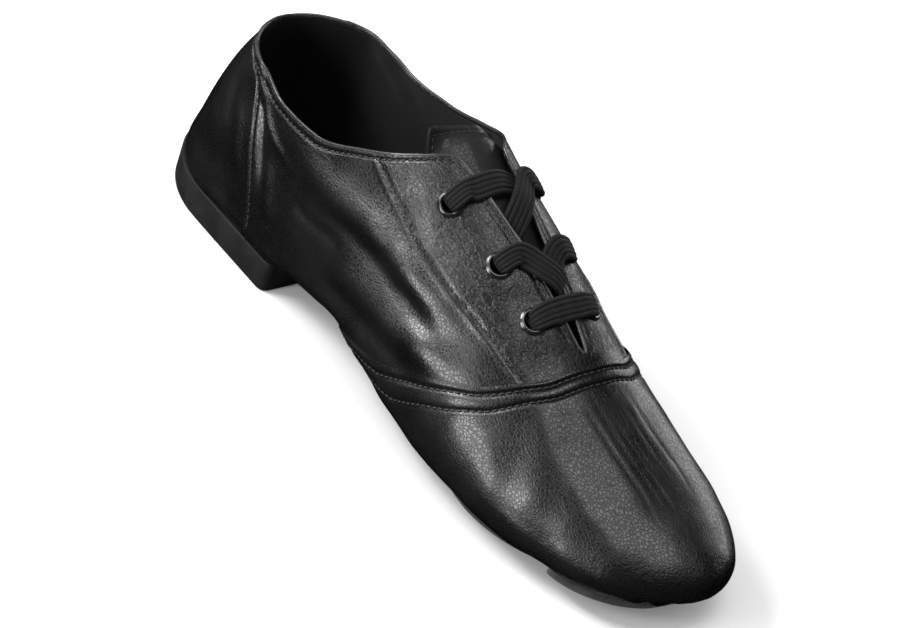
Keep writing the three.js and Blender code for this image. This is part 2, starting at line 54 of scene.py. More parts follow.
# Sizes of the last, in millimetres, as in the solids
LENGTH = 250.0
BALL_WIDTH = 79.0
INSTEP_DEPTH = 89.0
COLLAR_DEPTH = 57.0
HEEL_HEIGHT = 9.0
HEEL_LENGTH = 70.0
HEEL_RIM = 2.0
HEEL_PROUD = 0.7
HEEL_CORNER = 3.0
TOE_SPRING = 10.0
HEEL_LEAN = 13.0
HEEL_FLARE = 4.5
RIDGE_SHIFT = 3.5
SETTLE = 0.8
WALL = 1.6
VAMP_STEP = 0.8
TONGUE_WALL = 1.4
INSOLE_THICKNESS = 1.5
PAD_THICKNESS = 2.0
GAP = 0.3
THROAT_END = 176.0
THROAT_HALF_GAP = 7.8
EYELET_STATIONS = (122.0, 145.0, 163.0)
EYELET_INSET = 9.3
EYELET_RADIUS = 4.8
EYELET_HOLE_RADIUS = 3.2
LACE_WIDTH = 8.5
LACE_THICKNESS = 1.2
BALL_FLOOR = PAD_THICKNESS + GAP + VAMP_STEP
HEEL_SEAT = HEEL_HEIGHT + GAP
INSOLE_TOP = WALL + GAP + INSOLE_THICKNESS
HEEL_ROUND = 0.38 * BALL_WIDTH
TOE_ROUND = 0.43 * BALL_WIDTH
TOE_TIP_DEPTH = 0.4
# From the last's own frame, with stations from the heel, to the shoe's frame
SHIFT = np.array([-122.958, -1.785, 0.0])
# Powers and shares that round the heel and the toe in plan, and that lean and flare the back
HEEL_POWER = 2.2
TOE_POWER = 2.5
TOE_ROOT = 0.48
HUB_SHARE = 0.38
LEAN_FROM = 0.25
LEAN_REACH = 0.72
LEAN_POWER = 1.6
FLARE_REACH = 0.45
BACK_SHARE = 0.28
RIDGE_FROM = 0.36
RIDGE_REACH = 0.24

SECTION_COLUMNS = ("at", "lateral", "medial", "centre", "crown", "seat", "spring", "belly", "corner", "dome")
SECTIONS = (
    (0.00, 0.345, 0.335, 0.000, 0.840, 1.00, 0.00, 0.18, 6.5, 1.95),
    (0.12, 0.378, 0.370, 0.000, 0.960, 1.00, 0.00, 0.20, 6.5, 1.95),
    (0.24, 0.388, 0.390, 0.000, 1.000, 1.00, 0.00, 0.23, 5.6, 1.95),
    (0.36, 0.400, 0.410, 0.000, 0.935, 1.10, 0.00, 0.24, 3.4, 1.95),
    (0.42, 0.412, 0.420, 0.000, 0.885, 1.02, 0.00, 0.24, 2.6, 1.93),
    (0.47, 0.422, 0.430, 0.000, 0.840, 0.76, 0.00, 0.25, 2.6, 1.90),
    (0.56, 0.446, 0.458, 0.000, 0.762, 0.22, 0.00, 0.27, 2.8, 1.85),
    (0.64, 0.466, 0.474, 0.006, 0.655, 0.00, 0.00, 0.30, 3.0, 1.80),
    (0.72, 0.470, 0.482, 0.019, 0.525, 0.00, 0.00, 0.33, 3.0, 1.78),
    (0.80, 0.445, 0.466, 0.038, 0.413, 0.00, 0.05, 0.36, 3.0, 1.75),
    (0.88, 0.390, 0.412, 0.063, 0.308, 0.00, 0.24, 0.38, 2.8, 1.75),
    (0.94, 0.345, 0.360, 0.076, 0.230, 0.00, 0.52, 0.39, 2.6, 1.75),
    (1.00, 0.300, 0.305, 0.089, 0.135, 0.00, 1.00, 0.40, 2.4, 1.75),
)
COLLAR_COLUMNS = ("at", "lateral", "medial")
COLLAR = (
    (0.00, 0.99, 0.99),
    (0.06, 1.00, 1.00),
    (0.12, 0.99, 0.99),
    (0.20, 0.92, 0.94),
    (0.28, 0.94, 0.97),
    (0.36, 1.08, 1.09),
    (0.42, 1.23, 1.24),
    (0.45, 1.34, 1.34),
)
THROAT_COLUMNS = ("along", "half")
THROAT = (
    (-0.12, 1.60),
    (-0.05, 1.38),
    (0.00, 1.18),
    (0.08, 1.02),
    (0.40, 0.66),
    (0.75, 0.33),
    (0.96, 0.17),
    (1.00, 0.05),
)
VAMP_COLUMNS = ("round", "at")
VAMP_EDGE = (
    (0.00, 0.720),
    (0.13, 0.715),
    (0.22, 0.697),
    (0.30, 0.670),
    (0.38, 0.620),
    (0.46, 0.560),
    (0.54, 0.495),
    (0.62, 0.450),
    (0.75, 0.415),
    (1.00, 0.400),
)

# Front edge of the heel panel's seam: down is the share of the way from the collar to the base
HEEL_SEAM_COLUMNS = ("down", "station")
HEEL_SEAM = (
    (0.00, 14.0),
    (0.05, 24.0),
    (0.11, 33.0),
    (0.29, 41.0),
    (0.52, 47.0),
    (0.72, 51.0),
    (0.91, 54.0),
    (1.00, 55.0),
)

COLLAR_FRONT = COLLAR[-1][0] * LENGTH
THROAT_LENGTH = THROAT_END - COLLAR_FRONT


def curve(xs, ys):
    """A smooth curve through the rows of a table, with no overshoot between two rows"""
    xs, ys = np.asarray(xs, float), np.asarray(ys, float)
    rise = np.diff(ys) / np.diff(xs)
    before, after = rise[:-1], rise[1:]
    same = before * after > 0
    inner = np.where(same, 2 * before * after / np.where(same, before + after, 1.0), 0.0)
    slope = np.concatenate([rise[:1], inner, rise[-1:]])

    def read(x):
        x = np.clip(x, xs[0], xs[-1])
        i = np.clip(np.searchsorted(xs, x, side="right") - 1, 0, len(rise) - 1)
        step = xs[i + 1] - xs[i]
        t = (x - xs[i]) / step
        start = (1 + 2 * t) * (1 - t) ** 2 * ys[i] + t * (1 - t) ** 2 * step * slope[i]
        return start + t * t * (3 - 2 * t) * ys[i + 1] + t * t * (t - 1) * step * slope[i + 1]

    return read


def curves(columns, rows):
    rows = np.array(rows)
    return {name: curve(rows[:, 0], rows[:, k]) for k, name in enumerate(columns) if k}


section = curves(SECTION_COLUMNS, SECTIONS)
collar_rim = curves(COLLAR_COLUMNS, COLLAR)
throat_half = curves(THROAT_COLUMNS, THROAT)["half"]
vamp_edge = curves(VAMP_COLUMNS, VAMP_EDGE)["at"]
heel_seam = curves(HEEL_SEAM_COLUMNS, HEEL_SEAM)["station"]


def clamp01(value):
    return np.clip(value, 0.0, 1.0)


def smooth(value):
    value = clamp01(value)
    return value * value * (3 - 2 * value)


def bell(distance, middle, width):
    """A soft bump of height 1 in the middle"""
    return np.exp(-(((distance - middle) / width) ** 2))


def unit(vectors):
    return vectors / np.maximum(np.linalg.norm(vectors, axis=-1, keepdims=True), 1e-12)


def lengths_along(line):
    """Length from the start of a line of points to each of them"""
    return np.concatenate([[0], np.cumsum(np.linalg.norm(np.diff(line, axis=0), axis=1))])


def read_along(values, lengths, at):
    """Rows of values read at places along a line"""
    return np.column_stack([np.interp(at, lengths, values[:, k]) for k in range(values.shape[1])])


def halves(share):
    """Side of the shoe, and share from the ridge to underneath, for a share all the way round"""
    return np.where(share <= 0.5, -1.0, 1.0), np.where(share <= 0.5, 2 * share, 2 - 2 * share)


def bed(x):
    """Height of the bed, on which the foot stands, above the floor"""
    at = x / LENGTH
    return BALL_FLOOR + section["seat"](at) * (HEEL_SEAT - BALL_FLOOR) + section["spring"](at) * TOE_SPRING


def ridge_line(x):
    """Plan line of the instep's ridge, on which the throat lies"""
    at = x / LENGTH
    return section["centre"](at) * BALL_WIDTH + RIDGE_SHIFT * clamp01((at - RIDGE_FROM) / RIDGE_REACH)


def last_point(x, turn, outset=0.0):
    """A point of the last. turn goes from 0 on the ridge over the lateral side to 0.5 underneath and back"""
    x, turn, outset = np.broadcast_arrays(*(np.asarray(value, float) for value in (x, turn, outset)))
    at = x / LENGTH
    turn = np.mod(turn, 1.0)
    lateral = turn <= 0.5
    angle = np.where(lateral, math.pi * (0.5 - 2 * turn), math.pi * (2 * turn - 1.5))
    heel = clamp01(1 - x / HEEL_ROUND)
    toe = clamp01((x - LENGTH + TOE_ROUND) / TOE_ROUND)
    heel_share = np.sqrt(np.clip(1 - heel**HEEL_POWER, 0, 1))
    toe_share = np.clip(1 - toe**TOE_POWER, 0, 1) ** TOE_ROOT
    half = BALL_WIDTH * np.where(lateral, section["lateral"](at), section["medial"](at)) + outset
    bottom = bed(x) - SETTLE - outset
    top = bed(x) + section["crown"](at) * INSTEP_DEPTH + outset
    widest = bottom + (top - bottom) * section["belly"](at)
    sine, cosine = np.sin(angle), np.cos(angle)
    below = sine < 0
    power = 2 / np.where(below, section["corner"](at), section["dome"](at))
    reach = np.where(below, widest - bottom, top - widest) * np.abs(sine) ** power
    height = np.maximum(np.where(below, widest - reach, widest + reach), bottom + SETTLE)
    hub = bottom + (top - bottom) * HUB_SHARE
    z = hub + (height - hub) * (TOE_TIP_DEPTH + (1 - TOE_TIP_DEPTH) * toe_share)
    across = half * heel_share * toe_share * np.abs(cosine) ** power
    up = clamp01((z - widest) / (top - widest))
    centre = section["centre"](at) * BALL_WIDTH
    middle = centre + up**2 * (ridge_line(x) - centre)
    rise = (z - bed(x)) / COLLAR_DEPTH
    lean = HEEL_LEAN * np.clip((rise - LEAN_FROM) / LEAN_REACH, 0, 2) ** LEAN_POWER
    flare = HEEL_FLARE * clamp01(1 - rise / FLARE_REACH) ** 2
    forward = (lean - flare) * clamp01(1 - at / BACK_SHARE) ** 2
    stretched = -outset + at * (LENGTH + 2 * outset)
    return np.stack([stretched + forward, middle + np.where(lateral, -across, across), z], -1)


def arc_table():
    """Turn at even steps of the way from the ridge to underneath, at many stations of both sides"""
    ends = 1 - np.cos(np.linspace(0, math.pi / 2, 40))
    middle = np.linspace(HEEL_ROUND, LENGTH - TOE_ROUND, 160)[1:-1]
    xs = np.concatenate([HEEL_ROUND * ends, middle, LENGTH - TOE_ROUND * ends[::-1]])
    turns = 0.5 * (1 - np.cos(np.linspace(0, math.pi, 900))) / 2
    turns = np.sort(np.concatenate([turns, 0.25 + np.geomspace(1e-7, 0.02, 120)]))
    share = np.linspace(0, 1, 401)
    tables = []
    for side in (-1, 1):
        points = last_point(xs[:, None], (turns if side < 0 else 1 - turns)[None, :])
        steps = np.linalg.norm(np.diff(points, axis=1), axis=-1)
        gone = np.concatenate([np.zeros((len(xs), 1)), np.cumsum(steps, 1)], 1)
        gone /= gone[:, -1:]
        tables.append(np.array([np.interp(share, row, turns) for row in gone]))
    return xs, np.array(tables)


ARC_STATIONS, ARC_TURNS = arc_table()
ARC_STEPS = ARC_TURNS.shape[2] - 1


def turn_of(x, way):
    """Turn for a way from 0 on the ridge to 1 underneath, negative on the lateral side"""
    x, way = np.broadcast_arrays(np.asarray(x, float), np.asarray(way, float))
    medial = (way > 0).astype(int)
    row = np.clip(np.searchsorted(ARC_STATIONS, x) - 1, 0, len(ARC_STATIONS) - 2)
    f = clamp01((x - ARC_STATIONS[row]) / (ARC_STATIONS[row + 1] - ARC_STATIONS[row]))
    place = np.clip(np.abs(way), 0, 1) * ARC_STEPS
    col = np.minimum(place.astype(int), ARC_STEPS - 1)
    g = place - col
    low = ARC_TURNS[medial, row, col] * (1 - g) + ARC_TURNS[medial, row, col + 1] * g
    high = ARC_TURNS[medial, row + 1, col] * (1 - g) + ARC_TURNS[medial, row + 1, col + 1] * g
    turn = low * (1 - f) + high * f
    return np.where(medial == 1, 1 - turn, turn)


def on_last(x, way, outset=0.0):
    return last_point(x, turn_of(x, way), outset)


def way_where(x, side, test, near=0.0, far=1.0):
    """The way, on one side, up to which a test of the point holds"""
    x = np.asarray(x, float)
    near, far = np.full(x.shape, near), np.full(x.shape, far)
    for _ in range(24):
        way = (near + far) / 2
        holds = test(on_last(x, side * way))
        near, far = np.where(holds, way, near), np.where(holds, far, way)
    return (near + far) / 2


def way_at_height(x, side, z):
    return way_where(x, side, lambda point: point[..., 2] > z)


def way_at_distance(x, side, distance):
    """Way at which the upper side lies a distance from the ridge's plan line"""
    return way_where(x, side, lambda point: np.abs(point[..., 1] - ridge_line(x)) < distance, 0.0, 0.5)


def way_from_ridge(x, distance):
    """Signed way for a signed distance from the ridge's plan line"""
    side = np.where(distance < 0, -1.0, 1.0)
    return side * way_at_distance(x, side, np.abs(distance))


def way_under(x, y):
    """Signed way of the underside below a place in plan"""
    x, y = np.broadcast_arrays(np.asarray(x, float), np.asarray(y, float))
    centre = section["centre"](x / LENGTH) * BALL_WIDTH
    side = np.where(y < centre, -1.0, 1.0)
    low = way_where(x, -1, lambda point: point[..., 2] > bed(x) + 9, 0.2, 0.9)
    near, far = low, np.ones(x.shape)
    for _ in range(24):
        way = (near + far) / 2
        holds = np.abs(on_last(x, side * way)[..., 1] - centre) > np.abs(y - centre)
        near, far = np.where(holds, way, near), np.where(holds, far, way)
    return side * (near + far) / 2


def throat_edge(x):
    return THROAT_HALF_GAP * throat_half((x - COLLAR_FRONT) / THROAT_LENGTH)


CORNER_ROUNDING = 0.02
OPEN_STATIONS = np.linspace(0, THROAT_END, 400)


def opening_table(side):
    """Way of the opening's edge at each station: the collar, then the throat, with a rounded corner"""
    x = OPEN_STATIONS
    name = "lateral" if side < 0 else "medial"
    rim = bed(x) + collar_rim[name](x / LENGTH) * COLLAR_DEPTH
    collar = np.where(x <= COLLAR_FRONT, way_at_height(x, side, rim), 0.0)
    throat = way_at_distance(x, side, throat_edge(x))
    throat = np.where(x >= COLLAR_FRONT + THROAT[0][0] * THROAT_LENGTH, throat, 0.0)
    top, low = np.maximum(collar, throat), np.minimum(collar, throat)
    return top + CORNER_ROUNDING * np.log1p(np.exp(-(top - low) / CORNER_ROUNDING)) * (low > 0)


OPENING = {side: opening_table(side) for side in (-1, 1)}


def opening(x, side):
    """Way of the opening's edge, 0 in front of the throat"""
    lateral, medial = (np.interp(x, OPEN_STATIONS, OPENING[s]) for s in (-1, 1))
    return np.where(np.asarray(x) > THROAT_END, 0.0, np.where(np.asarray(side) < 0, lateral, medial))


def vamp_station(way):
    """Station of the vamp's edge for a way round the last"""
    x = np.full(np.shape(way), 0.6 * LENGTH)
    for _ in range(40):
        turn = turn_of(x, way)
        share = 2 * np.where(turn <= 0.5, turn, 1 - turn)
        x = 0.5 * x + 0.5 * vamp_edge(share) * LENGTH
    return x


# Soft folds, given one by one. Lateral, medial and both read station and height, top reads station and
# distance from the ridge, and arch reads station and way, on both sides. height is the rise of the leather,
# width its reach to each side.
FOLDS = (
    # where, height, width, route
    # Long folds of the quarter under the facing
    ("lateral", 2.7, 6.3, (
        (46, 58), (62, 55), (80, 53.5), (92, 54), (105, 54.6), (118, 53.2), (130, 51), (142, 49), (157, 47),
    )),
    ("lateral", -1.5, 3.2, ((82, 47), (92, 47.5), (105, 48.4), (118, 48), (130, 46.6), (142, 45), (157, 44))),
    ("lateral", 2.5, 6.4, (
        (88, 31), (100, 34.5), (109, 36.5), (122, 37.2), (132, 37), (144, 37.5), (156, 38.5), (166, 41),
    )),
    ("lateral", -1.3, 4.0, ((92, 24), (104, 28), (118, 29.5), (132, 30), (146, 31), (158, 33))),
    ("lateral", 0.6, 3.5, ((88, 20), (104, 21.5), (120, 22), (134, 23))),
    # Soft crease in front of the heel seam, and the fine fold from the collar to the long folds
    ("lateral", -1.5, 2.2, ((34, 62), (41, 56.5), (46, 50.5), (50.5, 43.5), (55, 36), (58, 29))),
    ("lateral", 1.1, 1.6, ((24, 70), (31, 65), (38, 60), (45, 55.7), (53, 51.5), (62, 49), (74, 47.5))),
    ("lateral", 0.9, 3.0, ((54, 46), (58, 39), (62, 31), (66, 24))),
    ("lateral", 0.8, 2.6, ((30, 52), (35, 44), (40, 35), (44, 27))),
    ("lateral", 1.2, 5.0, ((1, 18), (10, 19), (20, 19.5), (30, 18.5), (38, 16))),
    ("lateral", -0.7, 2.6, ((20, 58), (26, 48), (31, 38))),
    ("lateral", -0.6, 2.2, ((68, 41), (80, 39), (92, 41), (102, 43))),
    # Bulge of the leather over the heel's edge
    ("both", 1.1, 2.6, ((1, 13.5), (20, 13.5), (40, 13.5), (58, 13.5), (71, 14), (80, 15))),
    # Calmer folds of the medial quarter
    ("medial", 1.0, 6.0, ((82, 58), (104, 57), (126, 53), (148, 49), (164, 45))),
    ("medial", -1.1, 4.2, ((90, 49), (112, 47), (134, 44), (154, 42))),
    ("medial", 0.8, 5.0, ((96, 41), (116, 38), (138, 37), (156, 38))),
    ("medial", -0.7, 3.2, ((66, 50), (80, 42), (94, 34), (106, 28))),
    ("medial", -0.6, 2.6, ((26, 64), (40, 58), (54, 50))),
    ("medial", 0.4, 3.2, ((34, 66), (48, 59), (60, 51))),
    # Soft dents of the vamp beside its ridge
    ("top", 0.75, 6.0, (
        (170, -20), (179, -21), (189, -22.4), (202, -23.6), (215, -24), (228, -23.6), (240, -21),
    )),
    ("top", -0.45, 6.0, ((172, -31), (180, -32), (192, -34.5), (204, -36), (216, -35.6), (228, -33))),
    ("top", -0.5, 6.5, ((180, -1), (194, -1), (208, -1), (222, -2), (234, -3))),
    ("top", 0.6, 6.0, ((180, 15), (190, 19), (202, 22), (216, 22), (228, 18))),
    # Fine lengthwise lines of the vamp
    ("top", -0.16, 0.8, ((186, -10), (200, -8.5), (216, -8), (232, -9))),
    ("top", -0.18, 0.8, ((184, -6), (198, -5), (212, -4.5), (228, -5))),
    ("top", -0.16, 0.7, ((190, -3), (204, -2), (220, -1.5), (234, -2.5))),
    ("top", -0.18, 0.8, ((184, 0), (198, 1), (212, 2), (226, 1.5))),
    ("top", -0.16, 0.7, ((188, 4), (202, 5), (218, 5.5))),
    ("top", -0.16, 0.8, ((186, 8), (198, 9), (212, 10), (226, 9))),
    ("top", -0.25, 2.4, ((190, -42), (200, -41), (210, -40), (220, -37))),
    # Folds of the arch beside the seam underneath
    ("arch", -0.8, 2.4, ((92, 0.74), (108, 0.8), (124, 0.86), (138, 0.9))),
    ("arch", 0.5, 2.6, ((90, 0.82), (106, 0.88), (122, 0.93))),
    ("arch", -0.6, 2.0, ((112, 0.7), (126, 0.76), (142, 0.8))),
)

# Gathers of the vamp's lower edge round the toe: station and way at both ends, on each side
PLEATS = (
    (205, 0.86, 207, 0.66),
    (211, 0.86, 215, 0.64),
    (217, 0.84, 223, 0.62),
    (224, 0.84, 231, 0.60),
    (231, 0.82, 238, 0.58),
    (237, 0.84, 244, 0.60),
    (240, 0.90, 247.5, 0.72),
    (241, 0.97, 248.8, 0.88),
)
PLEAT_DEPTH = 1.4
PLEAT_WIDTH = 1.6


def fold_routes(where, route):
    """Stations and signed ways of a fold's route, a pair for each side that it lies on"""
    x, other = np.array(route, float).T
    if where == "top":
        return [(x, way_from_ridge(x, other))]
    if where == "arch":
        return [(x, side * other) for side in (-1, 1)]
    sides = {"lateral": (-1,), "medial": (1,), "both": (-1, 1)}[where]
    return [(x, side * way_at_height(x, side, other)) for side in sides]


def dense(x, way, count):
    """The same route with evenly many more points, drawn smooth"""
    key = np.arange(len(x), dtype=float)
    at = np.linspace(0, len(x) - 1, count)
    return curve(key, x)(at), curve(key, way)(at)


BALL_PAD = {"middle": 181.0, "front": 33.0, "back": 43.0, "half_width": 29.5, "side": 2.5}
TOE_PAD = {"front": 241.0, "depth": 23.0, "half_width": 26.5, "side": 5.5}
BALL_ROWS = (4.6, 7.8)
TOE_ROW = 1.9


def ball_outline(angle, inset=0.0):
    """Round in front, and drawn out to a blunt point behind"""
    along, across = np.cos(angle), np.sin(angle)
    front = BALL_PAD["front"] - inset
    back = BALL_PAD["back"] - inset * 1.15
    half = BALL_PAD["half_width"] - inset
    taper = np.where(along >= 0, np.abs(across), (1 - np.abs(along) ** 1.7) ** 0.66)
    x = BALL_PAD["middle"] + np.where(along >= 0, front, back) * along
    return x, BALL_PAD["side"] + half * np.sign(across) * taper


def toe_outline(share, deep, inset=0.0):
    """share runs across from -1 to 1, deep from the hollowed rear at 0 to the front at 1"""
    half = TOE_PAD["half_width"] - inset
    depth = TOE_PAD["depth"]
    front = TOE_PAD["front"] - inset - 0.62 * depth * share**2
    rear = TOE_PAD["front"] + inset - depth - 0.5 * depth * share**2
    pinch = np.sqrt(np.clip(1 - np.abs(share) ** 9, 0.0, 1))
    middle = (front + rear) / 2
    x = middle + (front - rear) / 2 * (2 * deep - 1) * pinch
    return x, TOE_PAD["side"] + half * share


PAD_WELT = 1.1
PAD_WELT_WIDTH = 2.4
BALL_WELT_OUTSET = 3.2
TOE_WELT_OUTSET = 3.4


def pad_welts():
    """Lines just outside the pads, where the leather puffs out"""
    angle = np.linspace(-2.1, 2.1, 60)
    share = np.linspace(-1, 1, 50)
    lines = [ball_outline(angle, -BALL_WELT_OUTSET), toe_outline(share, np.ones(50), -TOE_WELT_OUTSET)]
    return [on_last(x, way_under(x, y)) for x, y in lines]


def all_folds():
    """Height, width and line on the last of every fold, pad welt and pleat"""
    made = [(PAD_WELT, PAD_WELT_WIDTH, line) for line in pad_welts()]
    for where, height, width, route in FOLDS:
        for stations, ways in fold_routes(where, route):
            made.append((height, width, on_last(*dense(stations, ways, 6 * len(route)))))
    for from_x, from_way, to_x, to_way in PLEATS:
        for side in (-1, 1):
            line = dense(np.array([from_x, to_x], float), side * np.array([from_way, to_way]), 10)
            made.append((-PLEAT_DEPTH, PLEAT_WIDTH, on_last(*line)))
    return made


FOLD_LINES = all_folds()
FOLD_FADE = 0.3
WAVES = 14
WAVE_SHARE = 0.0022


def wave_table():
    """Directions, lengths and offsets of the low waves that keep the leather from looking moulded"""
    random = np.random.default_rng(11)
    direction = unit(random.normal(size=(WAVES, 3)))
    length = np.geomspace(38, 9, WAVES)
    return direction * (2 * math.pi / length)[:, None], random.uniform(0, 2 * math.pi, WAVES), length


WAVE_VECTORS, WAVE_OFFSETS, WAVE_LENGTHS = wave_table()


def distance_to_line(points, line):
    """Distance of each point to a line of segments, and where along the line it is, from 0 to 1"""
    start, run = line[:-1], np.diff(line, axis=0)
    span = np.maximum((run**2).sum(1), 1e-12)
    to = points[:, None, :] - start[None]
    t = clamp01((to * run[None]).sum(-1) / span[None])
    gap = np.linalg.norm(to - t[..., None] * run[None], axis=-1)
    best = gap.argmin(1)
    rows = np.arange(len(points))
    return gap[rows, best], (best + t[rows, best]) / len(run)


def fold_height(points):
    """How far the folds lift the leather at points of the last"""
    lift = np.zeros(len(points))
    strength = bpy.context.scene.shoe_sizes.fold_strength
    for height, width, line in FOLD_LINES:
        reach = 2.6 * width
        low, high = line.min(0) - reach, line.max(0) + reach
        near = np.flatnonzero(((points > low) & (points < high)).all(1))
        if len(near):
            gap, along = distance_to_line(points[near], line)
            fade = smooth(along / FOLD_FADE) * smooth((1 - along) / FOLD_FADE)
            lift[near] += height * strength * bell(gap, 0, width) * fade
    phase = points @ WAVE_VECTORS.T + WAVE_OFFSETS
    lift += (np.sin(phase) * WAVE_LENGTHS * WAVE_SHARE).sum(1) * strength
    return lift


def leather(x, way, outset=0.0, extra=0.0):
    """Points of the folded leather and the directions out of it"""
    x, way = np.broadcast_arrays(np.asarray(x, float), np.asarray(way, float))
    shape = x.shape
    x, way = x.ravel(), way.ravel()
    turn = turn_of(x, way)
    safe = np.clip(x, 0.05, LENGTH - 0.05)
    along = last_point(safe + 0.01, turn) - last_point(safe - 0.01, turn)
    round_ = last_point(safe, turn + 0.0004) - last_point(safe, turn - 0.0004)
    normal = np.cross(round_, along)
    normal[:, 1] *= (x > 0) & (x < LENGTH)
    normal = unit(normal)
    lift = fold_height(last_point(x, turn)) + np.broadcast_to(extra, shape).ravel()
    fixed = np.broadcast_to(outset, shape).ravel()
    points = last_point(x, turn, fixed) + normal * lift[:, None]
    return points.reshape(*shape, 3), normal.reshape(*shape, 3)


# Making pieces

FACES_LOOKED_AT = 400
RIM_ANGLE = math.radians(52)
TUBE_WELD = 0.005


def activate(piece):
    bpy.ops.object.select_all(action="DESELECT")
    piece.select_set(True)
    bpy.context.view_layer.objects.active = piece


def edit(piece, *steps):
    """Runs edit-mode steps on the whole of a piece"""
    activate(piece)
    bpy.ops.object.mode_set(mode="EDIT")
    bpy.ops.mesh.select_all(action="SELECT")
    for step in steps:
        step()
    bpy.ops.object.mode_set(mode="OBJECT")


def weld(distance=0.03):
    return lambda: bpy.ops.mesh.remove_doubles(threshold=distance * MM)


def turn_out():
    bpy.ops.mesh.normals_make_consistent(inside=False)


def new_piece(name, add, **settings):
    """Adds a primitive with nothing else selected, and names it"""
    bpy.ops.object.select_all(action="DESELECT")
    add(**settings)
    piece = bpy.context.object
    piece.name = piece.data.name = name
    return piece


def modify(piece, kind, **settings):
    """Adds a modifier and applies it"""
    activate(piece)
    modifier = piece.modifiers.new(kind.title(), kind)
    for key, value in settings.items():
        setattr(modifier, key, value)
    bpy.ops.object.modifier_apply(modifier=modifier.name)


def soften(piece, degrees=42):
    activate(piece)
    bpy.ops.object.shade_smooth_by_angle(angle=math.radians(degrees))


def set_points(piece, points):
    """Gives a piece its points, in millimetres of the last's own frame"""
    piece.data.vertices.foreach_set("co", ((points + SHIFT) * MM).astype(np.float32).ravel())
    piece.data.update()


def add_grid(name, rows, columns):
    """A new grid, and the two shares, from 0 to 1, of each of its points"""
    add = bpy.ops.mesh.primitive_grid_add
    piece = new_piece(name, add, x_subdivisions=rows, y_subdivisions=columns, size=2)
    flat = np.zeros(len(piece.data.vertices) * 3, np.float32)
    piece.data.vertices.foreach_get("co", flat)
    flat = flat.reshape(-1, 3).astype(float)
    return piece, (flat[:, 0] + 1) / 2, (flat[:, 1] + 1) / 2


def face_outward(piece, normals):
    """Turns the faces of an open sheet to the side that its directions point to"""
    faces = piece.data.polygons
    sample = list(faces)[:: max(1, len(faces) // FACES_LOOKED_AT)]
    if sum(Vector(normals[face.vertices[0]]).dot(face.normal) * face.area for face in sample) < 0:
        edit(piece, bpy.ops.mesh.flip_normals)


def store(piece, name, values):
    layer = piece.data.attributes.new(name, "FLOAT", "POINT")
    layer.data.foreach_set("value", np.asarray(values, np.float32))


def scale_uv(piece, across, along):
    """Gives the piece's own map real sizes, in centimetres"""
    layer = piece.data.uv_layers.active.data
    flat = np.zeros(len(layer) * 2, np.float32)
    layer.foreach_get("uv", flat)
    flat = flat.reshape(-1, 2) * np.array([across, along], np.float32) / 10
    layer.foreach_set("uv", flat.ravel())


def dress(piece, material, slot, *nodes):
    """Gives a finished piece its material and body, and hides the solids that it stands for. slot is not used
    """
    piece.data.materials.clear()
    piece.data.materials.append(material)
    if nodes:
        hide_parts(*nodes)
    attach(piece, BODY)
    return piece


def sheet_of_leather(piece, points, normals, thickness, rim):
    """Turns a shaped grid into a wall of leather, with edges rounded by the rim"""
    set_points(piece, points)
    face_outward(piece, normals)
    edit(piece, weld())
    modify(piece, "SOLIDIFY", thickness=thickness * MM, offset=-1.0, use_even_offset=False)
    width = min(rim, 0.45 * thickness) * MM
    modify(piece, "BEVEL", width=width, segments=3, limit_method="ANGLE", angle_limit=RIM_ANGLE)
    soften(piece)


def toward_edge(share, near):
    """Spaces columns closely at share 0 and evenly beyond"""
    return share * (near + (1 - near) * share)


def relief(distance, rows):
    """Low relief beside an edge or a seam, from rows of height, distance and reach"""
    return sum(height * bell(distance, at, reach) for height, at, reach in rows)


def tube_frame(line, out):
    """Directions across and up at each point of a line, square to it"""
    ahead = unit(np.gradient(line, axis=0))
    across = unit(np.cross(out, ahead))
    return across, np.cross(ahead, across)


def close_tube(piece, points, degrees):
    """Shapes a grid into a tube, closes its seam and its ends and turns it outwards"""
    set_points(piece, points)
    edit(piece, weld(TUBE_WELD))
    edit(
        piece,
        lambda: bpy.ops.mesh.select_all(action="DESELECT"),
        bpy.ops.mesh.select_non_manifold,
        bpy.ops.mesh.fill,
        lambda: bpy.ops.mesh.select_all(action="SELECT"),
        turn_out,
    )
    soften(piece, degrees)


# Finishes


def node(tree, kind, **settings):
    made = tree.nodes.new(kind)
    for name, value in settings.items():
        setattr(made, name, value)
    return made


def feed(tree, value, target):
    """Links an output to a socket, or gives the socket a constant"""
    if isinstance(value, bpy.types.NodeSocket):
        tree.links.new(value, target)
    else:
        target.default_value = value


def maths(tree, operation, *values, kind="ShaderNodeMath"):
    made = node(tree, kind, operation=operation)
    for value, target in zip(values, made.inputs):
        feed(tree, value, target)
    return made.outputs[0]


def vector_maths(tree, operation, *values):
    return maths(tree, operation, *values, kind="ShaderNodeVectorMath")


def weighted(tree, *terms, start=0.0):
    """Sum of values, each times its weight, from a start"""
    for value, weight in terms:
        start = maths(tree, "MULTIPLY_ADD", value, weight, start)
    return start


def spread(tree, value, low, high, to_low=0.0, to_high=1.0):
    """Softly maps a range of values to another"""
    made = node(tree, "ShaderNodeMapRange", interpolation_type="SMOOTHSTEP")
    numbers = {"Value": value, "From Min": low, "From Max": high, "To Min": to_low, "To Max": to_high}
    for name, number in numbers.items():
        feed(tree, number, made.inputs[name])
    return made.outputs[0]


def noise(tree, vector, size, detail=2.0, rough=0.5, output="Fac"):
    """Cloudy noise with features of a size in millimetres"""
    made = node(tree, "ShaderNodeTexNoise")
    values = {"Vector": vector, "Scale": 1 / (size * MM), "Detail": detail, "Roughness": rough}
    for name, value in values.items():
        feed(tree, value, made.inputs[name])
    return made.outputs[output]


